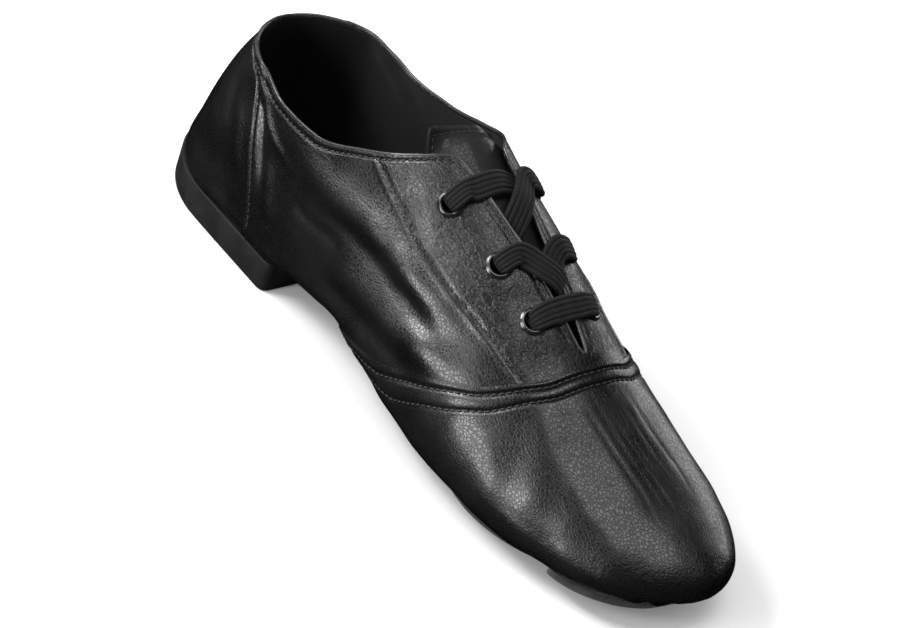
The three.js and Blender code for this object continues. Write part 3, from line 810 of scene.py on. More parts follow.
def cells(tree, vector, scale, crease):
    """Raised cells of a scale, with creases of a width between them"""
    made = node(tree, "ShaderNodeTexVoronoi", feature="DISTANCE_TO_EDGE")
    feed(tree, vector, made.inputs["Vector"])
    feed(tree, scale, made.inputs["Scale"])
    return spread(tree, made.outputs["Distance"], 0.0, crease)


def new_group(name, inputs, outputs):
    """A node group with its inputs and outputs, each a name with its default or none for a vector"""
    group = bpy.data.node_groups.new(name, "ShaderNodeTree")
    for direction, sockets in (("INPUT", inputs), ("OUTPUT", outputs)):
        for label, default in sockets.items():
            kind = "NodeSocketVector" if default is None else "NodeSocketFloat"
            item = group.interface.new_socket(name=label, in_out=direction, socket_type=kind)
            if default is not None:
                item.default_value = default
    return group, node(group, "NodeGroupInput").outputs, node(group, "NodeGroupOutput").inputs


GRAIN_STRETCH = (0.75, 1.0, 1.0)
GRAIN_DRIFT = (0.0011, 0.0011, 0.0011)
GRAIN_DRIFT_SIZE = 2.2
WRINKLE_STRETCH = (0.4, 1.0, 1.0)
WRINKLE_SIZE = 3.2


def grain_group():
    """Pebbled grain: raised cells with fine creases between them, and wrinkles where asked"""
    group, given, made = new_group(
        "Pebbled grain", {"Vector": None, "Cell": 1.3, "Wrinkle": 0.0}, {"Height": 0.0, "Valley": 0.0}
    )
    vector = given["Vector"]
    stretched = vector_maths(group, "MULTIPLY", vector, GRAIN_STRETCH)
    drift = noise(group, vector, GRAIN_DRIFT_SIZE, output="Color")
    shifted = vector_maths(group, "MULTIPLY_ADD", drift, GRAIN_DRIFT, stretched)
    scale = maths(group, "DIVIDE", 1 / MM, given["Cell"])
    pebble = cells(group, shifted, scale, 0.22)
    small = cells(group, shifted, maths(group, "MULTIPLY", scale, 2.3), 0.2)
    dust = noise(group, vector, 0.45, 3.0)
    drawn = vector_maths(group, "MULTIPLY", vector, WRINKLE_STRETCH)
    crumple = maths(group, "SUBTRACT", noise(group, drawn, WRINKLE_SIZE, 4.0, 0.6), 0.5)
    creased = spread(group, maths(group, "ABSOLUTE", crumple), 0.0, 0.11)
    wrinkled = maths(group, "MULTIPLY", maths(group, "SUBTRACT", creased, 1.0), given["Wrinkle"])
    height = weighted(group, (pebble, 0.6), (small, 0.16), (dust, 0.08), (wrinkled, 2.6))
    feed(group, height, made["Height"])
    feed(group, maths(group, "SUBTRACT", 1.0, pebble), made["Valley"])
    return group


def weave_group():
    """Threads over and under each other, on a map in centimetres"""
    group, given, made = new_group("Woven threads", {"Vector": None, "Pitch": 0.5}, {"Height": 0.0})
    parts = node(group, "ShaderNodeSeparateXYZ")
    feed(group, given["Vector"], parts.inputs[0])
    turns = maths(group, "DIVIDE", 10 * 2 * math.pi, given["Pitch"])
    warp, weft = (
        maths(group, "SINE", maths(group, "MULTIPLY", parts.outputs[axis], turns)) for axis in ("X", "Y")
    )
    feed(group, weighted(group, (maths(group, "MULTIPLY", warp, weft), 0.5), start=0.5), made["Height"])
    return group


def shader(name, color, rough, **constants):
    """A new material with its shader, and the constant values on the shader's own sockets"""
    material = bpy.data.materials.new(name)
    material.use_nodes = True
    tree = material.node_tree
    bsdf = tree.nodes["Principled BSDF"]
    bsdf.inputs["Base Color"].default_value = (*color, 1)
    bsdf.inputs["Roughness"].default_value = rough
    for key, value in constants.items():
        bsdf.inputs[key.replace("_", " ")].default_value = value
    return material, tree, bsdf, node(tree, "ShaderNodeTexCoord").outputs


def bump(tree, bsdf, height, distance):
    """Relief of a depth in millimetres"""
    made = node(tree, "ShaderNodeBump")
    made.inputs["Strength"].default_value = 1.0
    made.inputs["Distance"].default_value = distance * MM
    feed(tree, height, made.inputs["Height"])
    feed(tree, made.outputs["Normal"], bsdf.inputs["Normal"])


def tint(tree, bsdf, share, color, dark, light):
    """Base colour between two multiples of a colour"""
    made = node(tree, "ShaderNodeMix", data_type="RGBA")
    feed(tree, share, made.inputs["Factor"])
    made.inputs[6].default_value = (*(Vector(color) * dark), 1)
    made.inputs[7].default_value = (*(Vector(color) * light), 1)
    feed(tree, made.outputs[2], bsdf.inputs["Base Color"])


def leather_finish(name, cell, depth, rough, lift=1.0):
    """Black leather. lift makes the colour paler: a painted highlight, as along the turned edge's bright line
    """
    color = bpy.context.scene.shoe_colours.leather
    material, tree, bsdf, place = shader(name, color, rough, Specular_IOR_Level=0.5, Coat_Roughness=0.16)
    grain = node(tree, "ShaderNodeGroup", node_tree=GROUPS["grain"])
    mask = node(tree, "ShaderNodeAttribute", attribute_name="wrinkle").outputs["Fac"]
    for socket, value in {"Vector": place["Object"], "Cell": cell, "Wrinkle": mask}.items():
        feed(tree, value, grain.inputs[socket])
    bump(tree, bsdf, grain.outputs["Height"], depth)
    shade = spread(tree, noise(tree, place["Object"], 22, 3.0), 0.3, 0.7)
    # lift scales the whole colour; at 7 on the turned edge it is a painted highlight
    tint(tree, bsdf, shade, Vector(color) * lift, 0.75, 1.35)
    valley = grain.outputs["Valley"]
    feed(tree, weighted(tree, (valley, 0.12), (shade, 0.09), start=rough - 0.05), bsdf.inputs["Roughness"])
    feed(tree, weighted(tree, (valley, -0.3), start=0.34), bsdf.inputs["Coat Weight"])
    return material


def suede_finish():
    color = bpy.context.scene.shoe_colours.suede
    material, tree, bsdf, place = shader("Suede", color, 0.95, Sheen_Weight=0.35, Sheen_Roughness=0.5)
    nap = noise(tree, place["Object"], 0.5, 5.0, 0.7)
    brushed = noise(tree, place["Object"], 5.0, 4.0, 0.6)
    bump(tree, bsdf, weighted(tree, (nap, 1.0), (brushed, 0.5)), 0.16)
    # Colour follows the nap's relief, darker where it is low: the suede's mottled tone with painted shade in
    # the nap's hollows
    mottle_and_shade = spread(tree, weighted(tree, (nap, 0.6), (brushed, 0.4)), 0.36, 0.64)
    tint(tree, bsdf, mottle_and_shade, color, 0.55, 1.6)
    return material


def rubber_finish():
    color = bpy.context.scene.shoe_colours.rubber
    material, tree, bsdf, place = shader("Heel rubber", color, 0.7, Specular_IOR_Level=0.3)
    bump(tree, bsdf, noise(tree, place["Object"], 0.35, 3.0), 0.06)
    cloud = noise(tree, place["Object"], 7.0, 3.0)
    tint(tree, bsdf, spread(tree, cloud, 0.3, 0.7), color, 0.8, 1.3)
    feed(tree, weighted(tree, (cloud, 0.2), start=0.58), bsdf.inputs["Roughness"])
    return material


def woven_finish(name, color, pitch, depth, rough, cord=0):
    """Woven cloth, darker in the weave's hollows and between the cords: painted shade. cord is the distance
    in millimetres between the cords that run along it, if it has any
    """
    material, tree, bsdf, place = shader(name, color, rough, Sheen_Weight=0.04, Specular_IOR_Level=0.25)
    weave = node(tree, "ShaderNodeGroup", node_tree=GROUPS["weave"])
    feed(tree, place["UV"], weave.inputs["Vector"])
    feed(tree, pitch, weave.inputs["Pitch"])
    # The weave's height also sets the colour, darker where the threads dip under: painted shade
    shade = weave.outputs["Height"]
    height = weighted(tree, (noise(tree, place["Object"], 0.3, 3.0, 0.6), 0.35), start=shade)
    if cord:
        parts = node(tree, "ShaderNodeSeparateXYZ")
        feed(tree, place["UV"], parts.inputs[0])
        lines = maths(tree, "COSINE", maths(tree, "MULTIPLY", parts.outputs["Y"], 20 * math.pi / cord))
        raised = spread(tree, lines, -1.0, 0.2)
        height = weighted(tree, (raised, 1.4), start=height)
        # Darker still in the grooves between the cords: painted shade
        shade = maths(tree, "MULTIPLY", raised, weighted(tree, (shade, 0.6), start=0.4))
    bump(tree, bsdf, height, depth)
    tint(tree, bsdf, shade, color, 0.3, 1.8)
    return material


def metal_finish():
    color = bpy.context.scene.shoe_colours.metal
    material, tree, bsdf, place = shader(
        "Eyelet metal", color, 0.25, Metallic=0.9, Coat_Weight=0.4, Coat_Roughness=0.12
    )
    scuff = noise(tree, place["Object"], 1.6, 4.0, 0.6)
    feed(tree, spread(tree, scuff, 0.35, 0.7, 0.2, 0.32), bsdf.inputs["Roughness"])
    tint(tree, bsdf, scuff, color, 0.8, 1.5)
    return material


def thread_finish(name, color):
    material, tree, bsdf, place = shader(name, color, 0.38)
    twist_and_shade = noise(tree, place["Object"], 0.25, 2.0)
    bump(tree, bsdf, twist_and_shade, 0.05)
    # Colour follows the twist's relief, darker where it is low: painted shade in the thread's hollows
    tint(tree, bsdf, twist_and_shade, color, 0.6, 1.6)
    return material


GROUPS = {}
FINISH = {}


def make_finishes():
    colours = bpy.context.scene.shoe_colours
    GROUPS["grain"] = grain_group()
    GROUPS["weave"] = weave_group()
    # name, cell in millimetres, depth in millimetres, roughness
    FINISH["leather"] = leather_finish("Pebbled leather", 1.0, 0.052, 0.28)
    # Seven times paler than the leather: a painted highlight, the bright line along the turned edge
    FINISH["edge"] = leather_finish("Turned leather edge, painted highlight", 1.0, 0.01, 0.17, lift=7.0)
    FINISH["tongue"] = leather_finish("Tongue leather", 1.05, 0.08, 0.6)
    FINISH["suede"] = suede_finish()
    FINISH["rubber"] = rubber_finish()
    # name, colour, pitch in millimetres, depth in millimetres, roughness
    FINISH["lining"] = woven_finish("Cloth lining", colours.lining, 0.8, 0.05, 0.92)
    FINISH["sock"] = woven_finish("Sock lining", colours.lining, 1.0, 0.05, 0.9)
    FINISH["lace"] = woven_finish("Ribbed lace", colours.lace, 1.0, 0.12, 0.8, cord=LACE_WIDTH / LACE_CORDS)
    FINISH["metal"] = metal_finish()
    FINISH["thread"] = thread_finish("Black thread", colours.thread)
    FINISH["pad_thread"] = thread_finish("Grey thread", colours.pad_thread)


# Sizes and colours that a user would change


class ShoeSizes(bpy.types.PropertyGroup):
    leather: bpy.props.FloatProperty(
        name="Leather", description="Thickness of the quarters, in millimetres",
        default=1.15, min=0.6, max=1.4,
    )
    stitch_pitch: bpy.props.FloatProperty(
        name="Stitch pitch", description="From one stitch to the next, in millimetres",
        default=2.3, min=1.5, max=5,
    )
    stitch_length: bpy.props.FloatProperty(
        name="Stitch length", description="Thread showing in one stitch, in millimetres",
        default=1.8, min=1, max=4,
    )
    thread: bpy.props.FloatProperty(
        name="Thread", description="Thickness of the thread, in millimetres",
        default=0.6, min=0.2, max=1,
    )
    fold_strength: bpy.props.FloatProperty(
        name="Folds", description="Depth of the soft folds, as a share of the usual",
        default=1.0, min=0, max=2,
    )


class ShoeColours(bpy.types.PropertyGroup):
    leather: bpy.props.FloatVectorProperty(
        name="Leather", description="Black leather", subtype="COLOR", default=(0.0045, 0.0045, 0.0048)
    )
    suede: bpy.props.FloatVectorProperty(
        name="Suede", description="Charcoal suede", subtype="COLOR", default=(0.023, 0.023, 0.024)
    )
    rubber: bpy.props.FloatVectorProperty(
        name="Rubber", description="Dark grey heel", subtype="COLOR", default=(0.007, 0.007, 0.0074)
    )
    lining: bpy.props.FloatVectorProperty(
        name="Lining", description="Black cloth", subtype="COLOR", default=(0.004, 0.004, 0.0043)
    )
    lace: bpy.props.FloatVectorProperty(
        name="Lace", description="Black flat lace", subtype="COLOR", default=(0.005, 0.005, 0.0054)
    )
    metal: bpy.props.FloatVectorProperty(
        name="Eyelets", description="Black enamelled metal", subtype="COLOR", default=(0.07, 0.07, 0.072)
    )
    pad_thread: bpy.props.FloatVectorProperty(
        name="Pad thread", description="Grey thread of the pads", subtype="COLOR", default=(0.07, 0.07, 0.072)
    )
    thread: bpy.props.FloatVectorProperty(
        name="Thread", description="Black thread", subtype="COLOR", default=(0.022, 0.022, 0.023)
    )


# The pieces

COLLAR_ROW = 2.6
EDGE_BEAD = 0.5
EDGE_ROW = 2.0
VAMP_ROWS = (2.0, 5.6)
QUARTER_BACK = 20.0
QUARTER_FRONT = 190.0
QUARTER_END = 0.9985
HEEL_SEAM_ROW = 1.3
HEEL_SEAM_FOOT = 0.74
HEEL_SEAM_SLANT = 0.86
PANEL_DEPTH = 0.62
PANEL_OVERLAP = 5.0
PANEL_SPACING = 1.7
LINING_DEPTH = 1.22
# Station and height of the stitched line below the facing
FACING_LINE = (
    (92, 72.5), (98, 70.1), (111, 65.2), (123, 60.8), (138, 56.8), (151, 53.5), (162, 50.3), (176, 45),
)
FACING_BACK = 90.0
FACING_FRONT = 178.0

# Low relief beside edges and seams: height, distance from the edge and reach, in millimetres
COLLAR_RELIEF = ((-0.3, COLLAR_ROW, 0.55), (0.22, 1.1, 0.7))
PANEL_RELIEF = ((-0.25, COLLAR_ROW, 0.55), (0.15, 1.1, 0.7))
FACING_RELIEF = ((-0.42, 0, 0.6), (0.3, 1.5, 0.8))
HEEL_SEAM_RELIEF = ((-0.35, HEEL_SEAM_ROW, 0.5), (0.25, 0, 0.7))
VAMP_RELIEF = (
    *((-0.45, row, 0.55) for row in VAMP_ROWS),
    (0.3, sum(VAMP_ROWS) / 2, 1.4),
    (0.22, 0.9, 0.6),
)
TONGUE_RELIEF = ((-0.25, EDGE_ROW, 0.5), (0.18, 0.9, 0.6))
BALL_RELIEF = (*((-0.5, row, 0.7) for row in BALL_ROWS), (-0.25, 0, 0.5))
TOE_RELIEF = ((-0.45, TOE_ROW, 0.6), (-0.2, 0, 0.5))


def facing_way(x, side):
    """Way of the stitched line below the facing"""
    line = np.array(FACING_LINE, float)
    return way_at_height(x, side, curve(line[:, 0], line[:, 1])(x))


def girth(x):
    """Length of the way from ridge to underside at a station"""
    x = np.asarray(x, float)
    key = np.linspace(0.5, LENGTH - 0.5, 60)
    rings = on_last(key[:, None], -np.linspace(0, 1, 80)[None, :])
    return np.interp(x, key, np.linalg.norm(np.diff(rings, axis=1), axis=-1).sum(1))


def way_from_edge(x, side, share, end=1.0):
    """Way at a share of the way from the opening's edge to its end underneath"""
    start = opening(x, side)
    return start + (end - start) * share


def seam_station(x, way, side):
    """Station of the heel panel's edge for the height of a point"""
    start = opening(x, side)
    return heel_seam(clamp01((np.abs(way) - start) / (HEEL_SEAM_FOOT - start)))


def quarter(side):
    """One quarter, from the heel panel's seam to under the vamp, from the collar to the arch seam"""
    piece, u, v = add_grid("quarter_lateral" if side < 0 else "quarter_medial", 190, 108)
    v = toward_edge(v, 0.36)
    x = QUARTER_BACK + (QUARTER_FRONT - QUARTER_BACK) * u
    for _ in range(12):
        seam = seam_station(x, way_from_edge(x, side, v, QUARTER_END), side)
        x = seam + (QUARTER_FRONT - seam) * (0.75 * u + 0.25 * u * u)
    way = way_from_edge(x, side, v, QUARTER_END)
    reach = girth(x)
    pull = relief((way - opening(x, side)) * reach, COLLAR_RELIEF) * smooth((THROAT_END - 2 - x) / 4)
    from_facing = (way - facing_way(x, side)) * reach
    beside = smooth((x - FACING_BACK) / 8) * smooth((FACING_FRONT - x) / 4)
    pull += relief(from_facing, FACING_RELIEF) * beside
    pull += relief((x - seam_station(x, way, side)) * HEEL_SEAM_SLANT, HEEL_SEAM_RELIEF)
    points, normals = leather(x, side * way, 0.0, pull)
    store(piece, "wrinkle", clamp01(0.15 + 0.85 * smooth(0.2 - from_facing / 4) * beside))
    sheet_of_leather(piece, points, normals, bpy.context.scene.shoe_sizes.leather, 0.42)
    for place in eyelet_places():
        if place["side"] == side:
            punch(piece, place)
    soften(piece)
    return dress(piece, FINISH["leather"], "leather", "upper")


def counter():
    """The heel panel, which runs under both quarters"""
    piece, u, v = add_grid("heel_panel", 84, 130)
    side, share = halves(v)
    share = toward_edge(share, 0.5)
    x = 30 * u
    for _ in range(14):
        seam = seam_station(x, way_from_edge(x, side, share), side) + PANEL_OVERLAP
        x = seam * u**PANEL_SPACING
    way = way_from_edge(x, side, share)
    pull = relief((way - opening(x, side)) * girth(x), PANEL_RELIEF)
    points, normals = leather(x, side * way, -PANEL_DEPTH, pull)
    store(piece, "wrinkle", np.full(len(x), 0.12))
    sheet_of_leather(piece, points, normals, 0.6, 0.25)
    return dress(piece, FINISH["leather"], "leather", "upper")


def edge_bead():
    """The turned edge of the collar and the throat, as a fine bead"""
    count = 760
    piece, u, v = add_grid("turned_edge", count, 8)
    key = np.concatenate([np.linspace(-1, 0, 400)[:-1], np.linspace(0, 1, 400)])
    x = THROAT_END * (0.35 * np.abs(key) + 0.65 * np.abs(key) ** 2)
    side = np.where(key < 0, -1.0, 1.0)
    start = opening(x, side)
    sunk = -0.25 - 0.3 * smooth((seam_station(x, start, side) + 1 - x) / 2.0)
    line, out = leather(x, side * (start + 0.1 / girth(x)), sunk)
    lengths = lengths_along(line)
    at = np.linspace(0, lengths[-1], count + 1)
    line, out = read_along(line, lengths, at), read_along(out, lengths, at)
    across, up = tube_frame(line, out)
    i = np.rint(u * count).astype(int)
    angle = 2 * math.pi * v[:, None]
    store(piece, "wrinkle", np.zeros(len(u)))
    close_tube(piece, line[i] + EDGE_BEAD * (across[i] * np.cos(angle) + up[i] * np.sin(angle)), 70)
    # The edge's finish is paler than the leather: a painted highlight along the rim
    return dress(piece, FINISH["edge"], "leather")


def lining():
    """The cloth inside, from the collar's edge to the toe"""
    piece, u, v = add_grid("lining", 110, 96)
    side, share = halves(v)
    x = spaced_stations(u)
    start = opening(x, side) + np.where(x < THROAT_END, 0.5 / girth(x), 0)
    way = start + (1 - start) * toward_edge(share, 0.6)
    points, normals = leather(x, side * way, -LINING_DEPTH)
    store(piece, "wrinkle", np.zeros(len(x)))
    scale_uv(piece, LENGTH, 250)
    sheet_of_leather(piece, points, normals, 0.38, 0.12)
    for place in eyelet_places():
        punch(piece, place)
    soften(piece)
    return dress(piece, FINISH["lining"], "sock_lining")


def spaced_stations(share):
    """Stations at even steps along the shoe's side, close together where the ends round off"""
    ends = 40 * np.linspace(0, 1, 200) ** 2
    x = np.concatenate([ends, np.linspace(40, LENGTH - 40, 300)[1:-1], LENGTH - ends[::-1]])
    lengths = lengths_along(on_last(x, np.full(len(x), -0.55)))
    return np.interp(share, lengths / lengths[-1], x)


def vamp():
    """The vamp, laid over the quarters, with a turned and twice stitched edge"""
    piece, u, v = add_grid("vamp", 150, 232)
    side, share = halves(v)
    way = side * share
    edge = vamp_station(way)
    x = spaced_from(edge, toward_edge(u, 0.42))
    from_edge = (x - edge) * edge_slant(way)
    pull = relief(from_edge, VAMP_RELIEF)
    pull -= 0.5 * smooth((share - 0.6) / 0.15) * bell(from_edge, 0, 2.2)
    points, normals = leather(x, way, VAMP_STEP, pull)
    store(piece, "wrinkle", clamp01(0.12 + 0.3 * smooth((share - 0.55) / 0.2)))
    sheet_of_leather(piece, points, normals, 0.78, 0.35)
    return dress(piece, FINISH["leather"], "leather", "upper")


def spaced_from(edge, share):
    """Stations from an edge to the toe, evenly at first and close together at the toe"""
    even = share * 1.12
    packed = 1 - (1.12 - even) ** 2 * (0.2 / 0.32**2)
    return np.minimum(edge + (LENGTH - edge) * np.where(even < 0.8, even, packed), LENGTH)


def edge_slant(way):
    """How much shorter the way straight from the vamp's edge is than along the shoe"""
    key = np.linspace(-1, 1, 161)
    run = unit(np.gradient(on_last(vamp_station(key), key), axis=0))
    slant = np.sqrt(np.clip(1 - run[:, 0] ** 2, 0.1, 1))
    soft = np.convolve(np.pad(slant, 6, mode="edge"), np.ones(13) / 13, mode="valid")
    return np.interp(way, key, soft)


TONGUE_BACK = 100.0
TONGUE_FRONT = THROAT_END + 10
TONGUE_CORNER = 2.2
TONGUE_DEPTH = 3.6
TONGUE_TOP = 84.4
TONGUE_BACK_HALF = 14.8


def tongue_half(x):
    share = (x - TONGUE_BACK) / (TONGUE_FRONT - TONGUE_BACK)
    wide = np.minimum(THROAT_HALF_GAP * (2.5 - 0.5 * share), TONGUE_BACK_HALF + 0.4 * (x - TONGUE_BACK))
    corner = TONGUE_CORNER - np.clip(x - TONGUE_BACK, 0, TONGUE_CORNER)
    return wide - TONGUE_CORNER + np.sqrt(np.maximum(TONGUE_CORNER**2 - corner**2, 0.0))


def tongue_place(x, distance, extra=0.0):
    """A point of the tongue's face, by station and distance from the ridge"""
    way = way_from_ridge(x, distance)
    top = smooth((TONGUE_BACK + 7 - x) / 7)
    ripple = 0.25 * np.sin(x / 5.5 + 0.08 * distance) * smooth((TONGUE_BACK + 34 - x) / 20)
    points = last_point(x, turn_of(x, way), -TONGUE_DEPTH)
    normal = leather(x, way)[1]
    drop = 0.165 * distance + 0.75 * (x - TONGUE_BACK) + 0.05 * np.maximum(distance - 6, 0) ** 2
    points[..., 2] += (TONGUE_TOP - drop - points[..., 2]) * top
    return points + normal * (ripple + extra)[..., None], normal


def tongue():
    piece, u, v = add_grid("tongue_leather", 120, 60)
    x = TONGUE_BACK + (TONGUE_FRONT - TONGUE_BACK) * (0.45 * u + 0.55 * u * u)
    distance = (2 * v - 1) * tongue_half(x)
    to_edge = np.minimum(tongue_half(x) - np.abs(distance), x - TONGUE_BACK)
    points, normals = tongue_place(x, distance, relief(to_edge, TONGUE_RELIEF))
    store(piece, "wrinkle", np.full(len(x), 0.2))
    sheet_of_leather(piece, points, normals, TONGUE_WALL - 0.3, 0.4)
    return dress(piece, FINISH["tongue"], "leather", "tongue")


def insole():
    """The sock, which turns up a little at its edge"""
    piece, u, v = add_grid("sock", 90, 34)
    x = 3 + (LENGTH - 7) * (3 * u * u - 2 * u**3) * 0.6 + (LENGTH - 7) * u * 0.4
    across = 2 * v - 1
    level = bed(x) + INSOLE_TOP
    bounds = []
    for side in (-1, 1):
        way = way_at_height(x, side, level + 0.6)
        bounds.append(last_point(x, turn_of(x, side * way), -(WALL + GAP)))
    middle = (bounds[0][:, 1] + bounds[1][:, 1]) / 2
    half = (bounds[1][:, 1] - bounds[0][:, 1]) / 2
    points = np.stack([x, middle + across * half, level + 0.9 * np.abs(across) ** 6 - 0.3], -1)
    scale_uv(piece, LENGTH, 70)
    sheet_of_leather(piece, points, np.tile([0.0, 0, 1], (len(x), 1)), 1.2, 0.3)
    return dress(piece, FINISH["sock"], "sock_lining", "insole")


HEEL_TURN = 0.34
HEEL_BACK = 30.0


def rounded_corner(start, corner, end):
    """Points from a start, which is left out, on a curve that turns at a corner"""
    t = np.linspace(0, 1, 7)[1:, None]
    return (1 - t) ** 2 * start + 2 * t * (1 - t) * np.array(corner) + t * t * np.array(end)


def heel_outline():
    """Plan of the heel block, from the lateral front corner round the back to the medial one"""
    back = HEEL_BACK * (1 - np.cos(np.linspace(math.pi / 2, 0, 26)))
    x = np.concatenate([np.linspace(HEEL_LENGTH - HEEL_CORNER, HEEL_BACK, 12)[:-1], back])
    lateral, medial = (last_point(x, turn, HEEL_PROUD)[:, :2] for turn in (HEEL_TURN, 1 - HEEL_TURN))
    low, high = (last_point(HEEL_LENGTH, turn, HEEL_PROUD)[1] for turn in (HEEL_TURN, 1 - HEEL_TURN))
    medial_corner = rounded_corner(medial[0], (HEEL_LENGTH, high), (HEEL_LENGTH, high - HEEL_CORNER))
    lateral_corner = rounded_corner(lateral[0], (HEEL_LENGTH, low), (HEEL_LENGTH, low + HEEL_CORNER))
    return np.concatenate([lateral, medial[::-1][1:], medial_corner, lateral_corner[::-1]])


def heel():
    loop = heel_outline()
    piece = new_piece("heel_block", bpy.ops.mesh.primitive_circle_add, vertices=len(loop), fill_type="NGON")
    set_points(piece, np.column_stack([loop, np.zeros(len(loop))]))
    height = (HEEL_HEIGHT + HEEL_RIM) * MM
    edit(
        piece,
        turn_out,
        lambda: bpy.ops.mesh.extrude_region_move(TRANSFORM_OT_translate={"value": (0, 0, height)}),
        lambda: bpy.ops.mesh.inset(thickness=2.6 * MM),
        lambda: bpy.ops.transform.translate(value=(0, 0, -0.3 * MM)),
    )
    edit(piece, turn_out)
    modify(piece, "BEVEL", width=0.7 * MM, segments=4, limit_method="ANGLE", angle_limit=math.radians(50))
    soften(piece, 35)
    return dress(piece, FINISH["rubber"], "heel_rubber", "heel")


def pad_points(x, y, extra):
    way = way_under(x, y)
    points = last_point(x, turn_of(x, way), BALL_FLOOR)
    normal = leather(x, way)[1]
    return points + normal * extra[..., None], normal


def ball_pad():
    piece, u, v = add_grid("ball_suede", 150, 56)
    radius = 1 - toward_edge(1 - v, 0.5)
    x, y = ball_outline(2 * math.pi * u)
    x = BALL_PAD["middle"] + (x - BALL_PAD["middle"]) * radius
    y = BALL_PAD["side"] + (y - BALL_PAD["side"]) * radius
    rim = np.column_stack(ball_outline(np.linspace(0, 2 * math.pi, 240)))
    gap = distance_to_line(np.column_stack([x, y]), rim)[0]
    points, normals = pad_points(x, y, relief(gap, BALL_RELIEF))
    points[:, 2] = np.maximum(points[:, 2], 0)
    sheet_of_leather(piece, points, normals, PAD_THICKNESS - 0.15, 0.5)
    return dress(piece, FINISH["suede"], "suede", "ball_pad")


def toe_pad():
    piece, u, v = add_grid("toe_suede", 90, 40)
    share = np.sin((u - 0.5) * math.pi) * 0.5 + (2 * u - 1) * 0.5
    x, y = toe_outline(share, v)
    key = np.linspace(-1, 1, 80)
    rear, front = toe_outline(key, np.zeros(80)), toe_outline(key[::-1], np.ones(80))
    rim = np.concatenate([np.column_stack(rear), np.column_stack(front)])
    gap = distance_to_line(np.column_stack([x, y]), rim)[0]
    points, normals = pad_points(x, y, relief(gap, TOE_RELIEF))
    sheet_of_leather(piece, points, normals, PAD_THICKNESS - 0.15, 0.5)
    return dress(piece, FINISH["suede"], "suede", "toe_pad")


def eyelet_places():
    """Side, name, point and direction outwards of each eyelet"""
    places = []
    for side, name in ((-1, "lateral"), (1, "medial")):
        for row, x in enumerate(EYELET_STATIONS):
            x = np.array([x])
            way = side * way_at_distance(x, side, throat_edge(x) + EYELET_INSET)
            (point,), (normal,) = leather(x, way)
            places.append({"side": side, "name": f"{name}_{row + 1}", "point": point, "normal": normal})
    return places


def upright(place):
    """Matrix that stands a piece, made about +Z in metres, on the leather at an eyelet"""
    turn = Vector((0, 0, 1)).rotation_difference(Vector(place["normal"])).to_matrix().to_4x4()
    return Matrix.Translation(Vector((place["point"] + SHIFT) * MM)) @ turn


def punch(piece, place):
    """Cuts an eyelet's hole through a piece"""
    radius = (EYELET_HOLE_RADIUS + 0.1) * MM
    add = bpy.ops.mesh.primitive_cylinder_add
    cutter = new_piece("Cutter", add, vertices=24, radius=radius, depth=8 * MM)
    cutter.data.transform(upright(place))
    modify(piece, "BOOLEAN", operation="DIFFERENCE", solver="EXACT", object=cutter)
    bpy.data.objects.remove(cutter)


# Radius and height of the ring's outside, from the foot of the barrel over the roll to the leather
EYELET_PROFILE = (
    (2.95, -1.3), (2.9, 0.3), (3.05, 0.72), (3.4, 0.98), (3.8, 0.9), (4.15, 0.56), (4.25, 0.12), (4.0, 0.0),
)


def eyelet(place):
    """A rolled metal ring with its barrel, spun from its profile"""
    piece = new_piece(f"ring_{place['name']}", bpy.ops.mesh.primitive_plane_add, size=1)
    mesh = piece.data
    mesh.clear_geometry()
    inner = [(r + 0.3, z - 0.26) for r, z in EYELET_PROFILE[1:-2][::-1]]
    loop = [*EYELET_PROFILE, *inner, (3.22, -1.3)]
    edges = [(k, (k + 1) % len(loop)) for k in range(len(loop))]
    mesh.from_pydata([(r * MM, 0, z * MM) for r, z in loop], edges, [])
    edit(piece, lambda: bpy.ops.mesh.spin(steps=40, angle=2 * math.pi, center=(0, 0, 0), axis=(0, 0, 1)))
    edit(piece, weld(0.002), turn_out)
    mesh.transform(upright(place))
    soften(piece, 50)
    return dress(piece, FINISH["metal"], "eyelet_metal", f"eyelet_{place['name']}")


LACE_CORDS = 5
LACE_RIB = 0.1
LACE_SAG = 0.1
OVER_RING = 1.25 + GAP + LACE_THICKNESS / 2
OVER_LEATHER = 0.15 + LACE_THICKNESS / 2


def catmull(rows, count):
    """Even points on a smooth line through rows of numbers"""
    rows = np.asarray(rows, float)
    padded = np.vstack([2 * rows[0] - rows[1], rows, 2 * rows[-1] - rows[-2]])
    at = np.linspace(0, len(rows) - 1, count)
    i = np.minimum(at.astype(int), len(rows) - 2)
    t = (at - i)[:, None]
    a, b, c, d = (padded[i + k] for k in range(4))
    return 0.5 * (2 * b + (c - a) * t + (2 * a - 5 * b + 4 * c - d) * t**2 + (3 * b - a - 3 * c + d) * t**3)


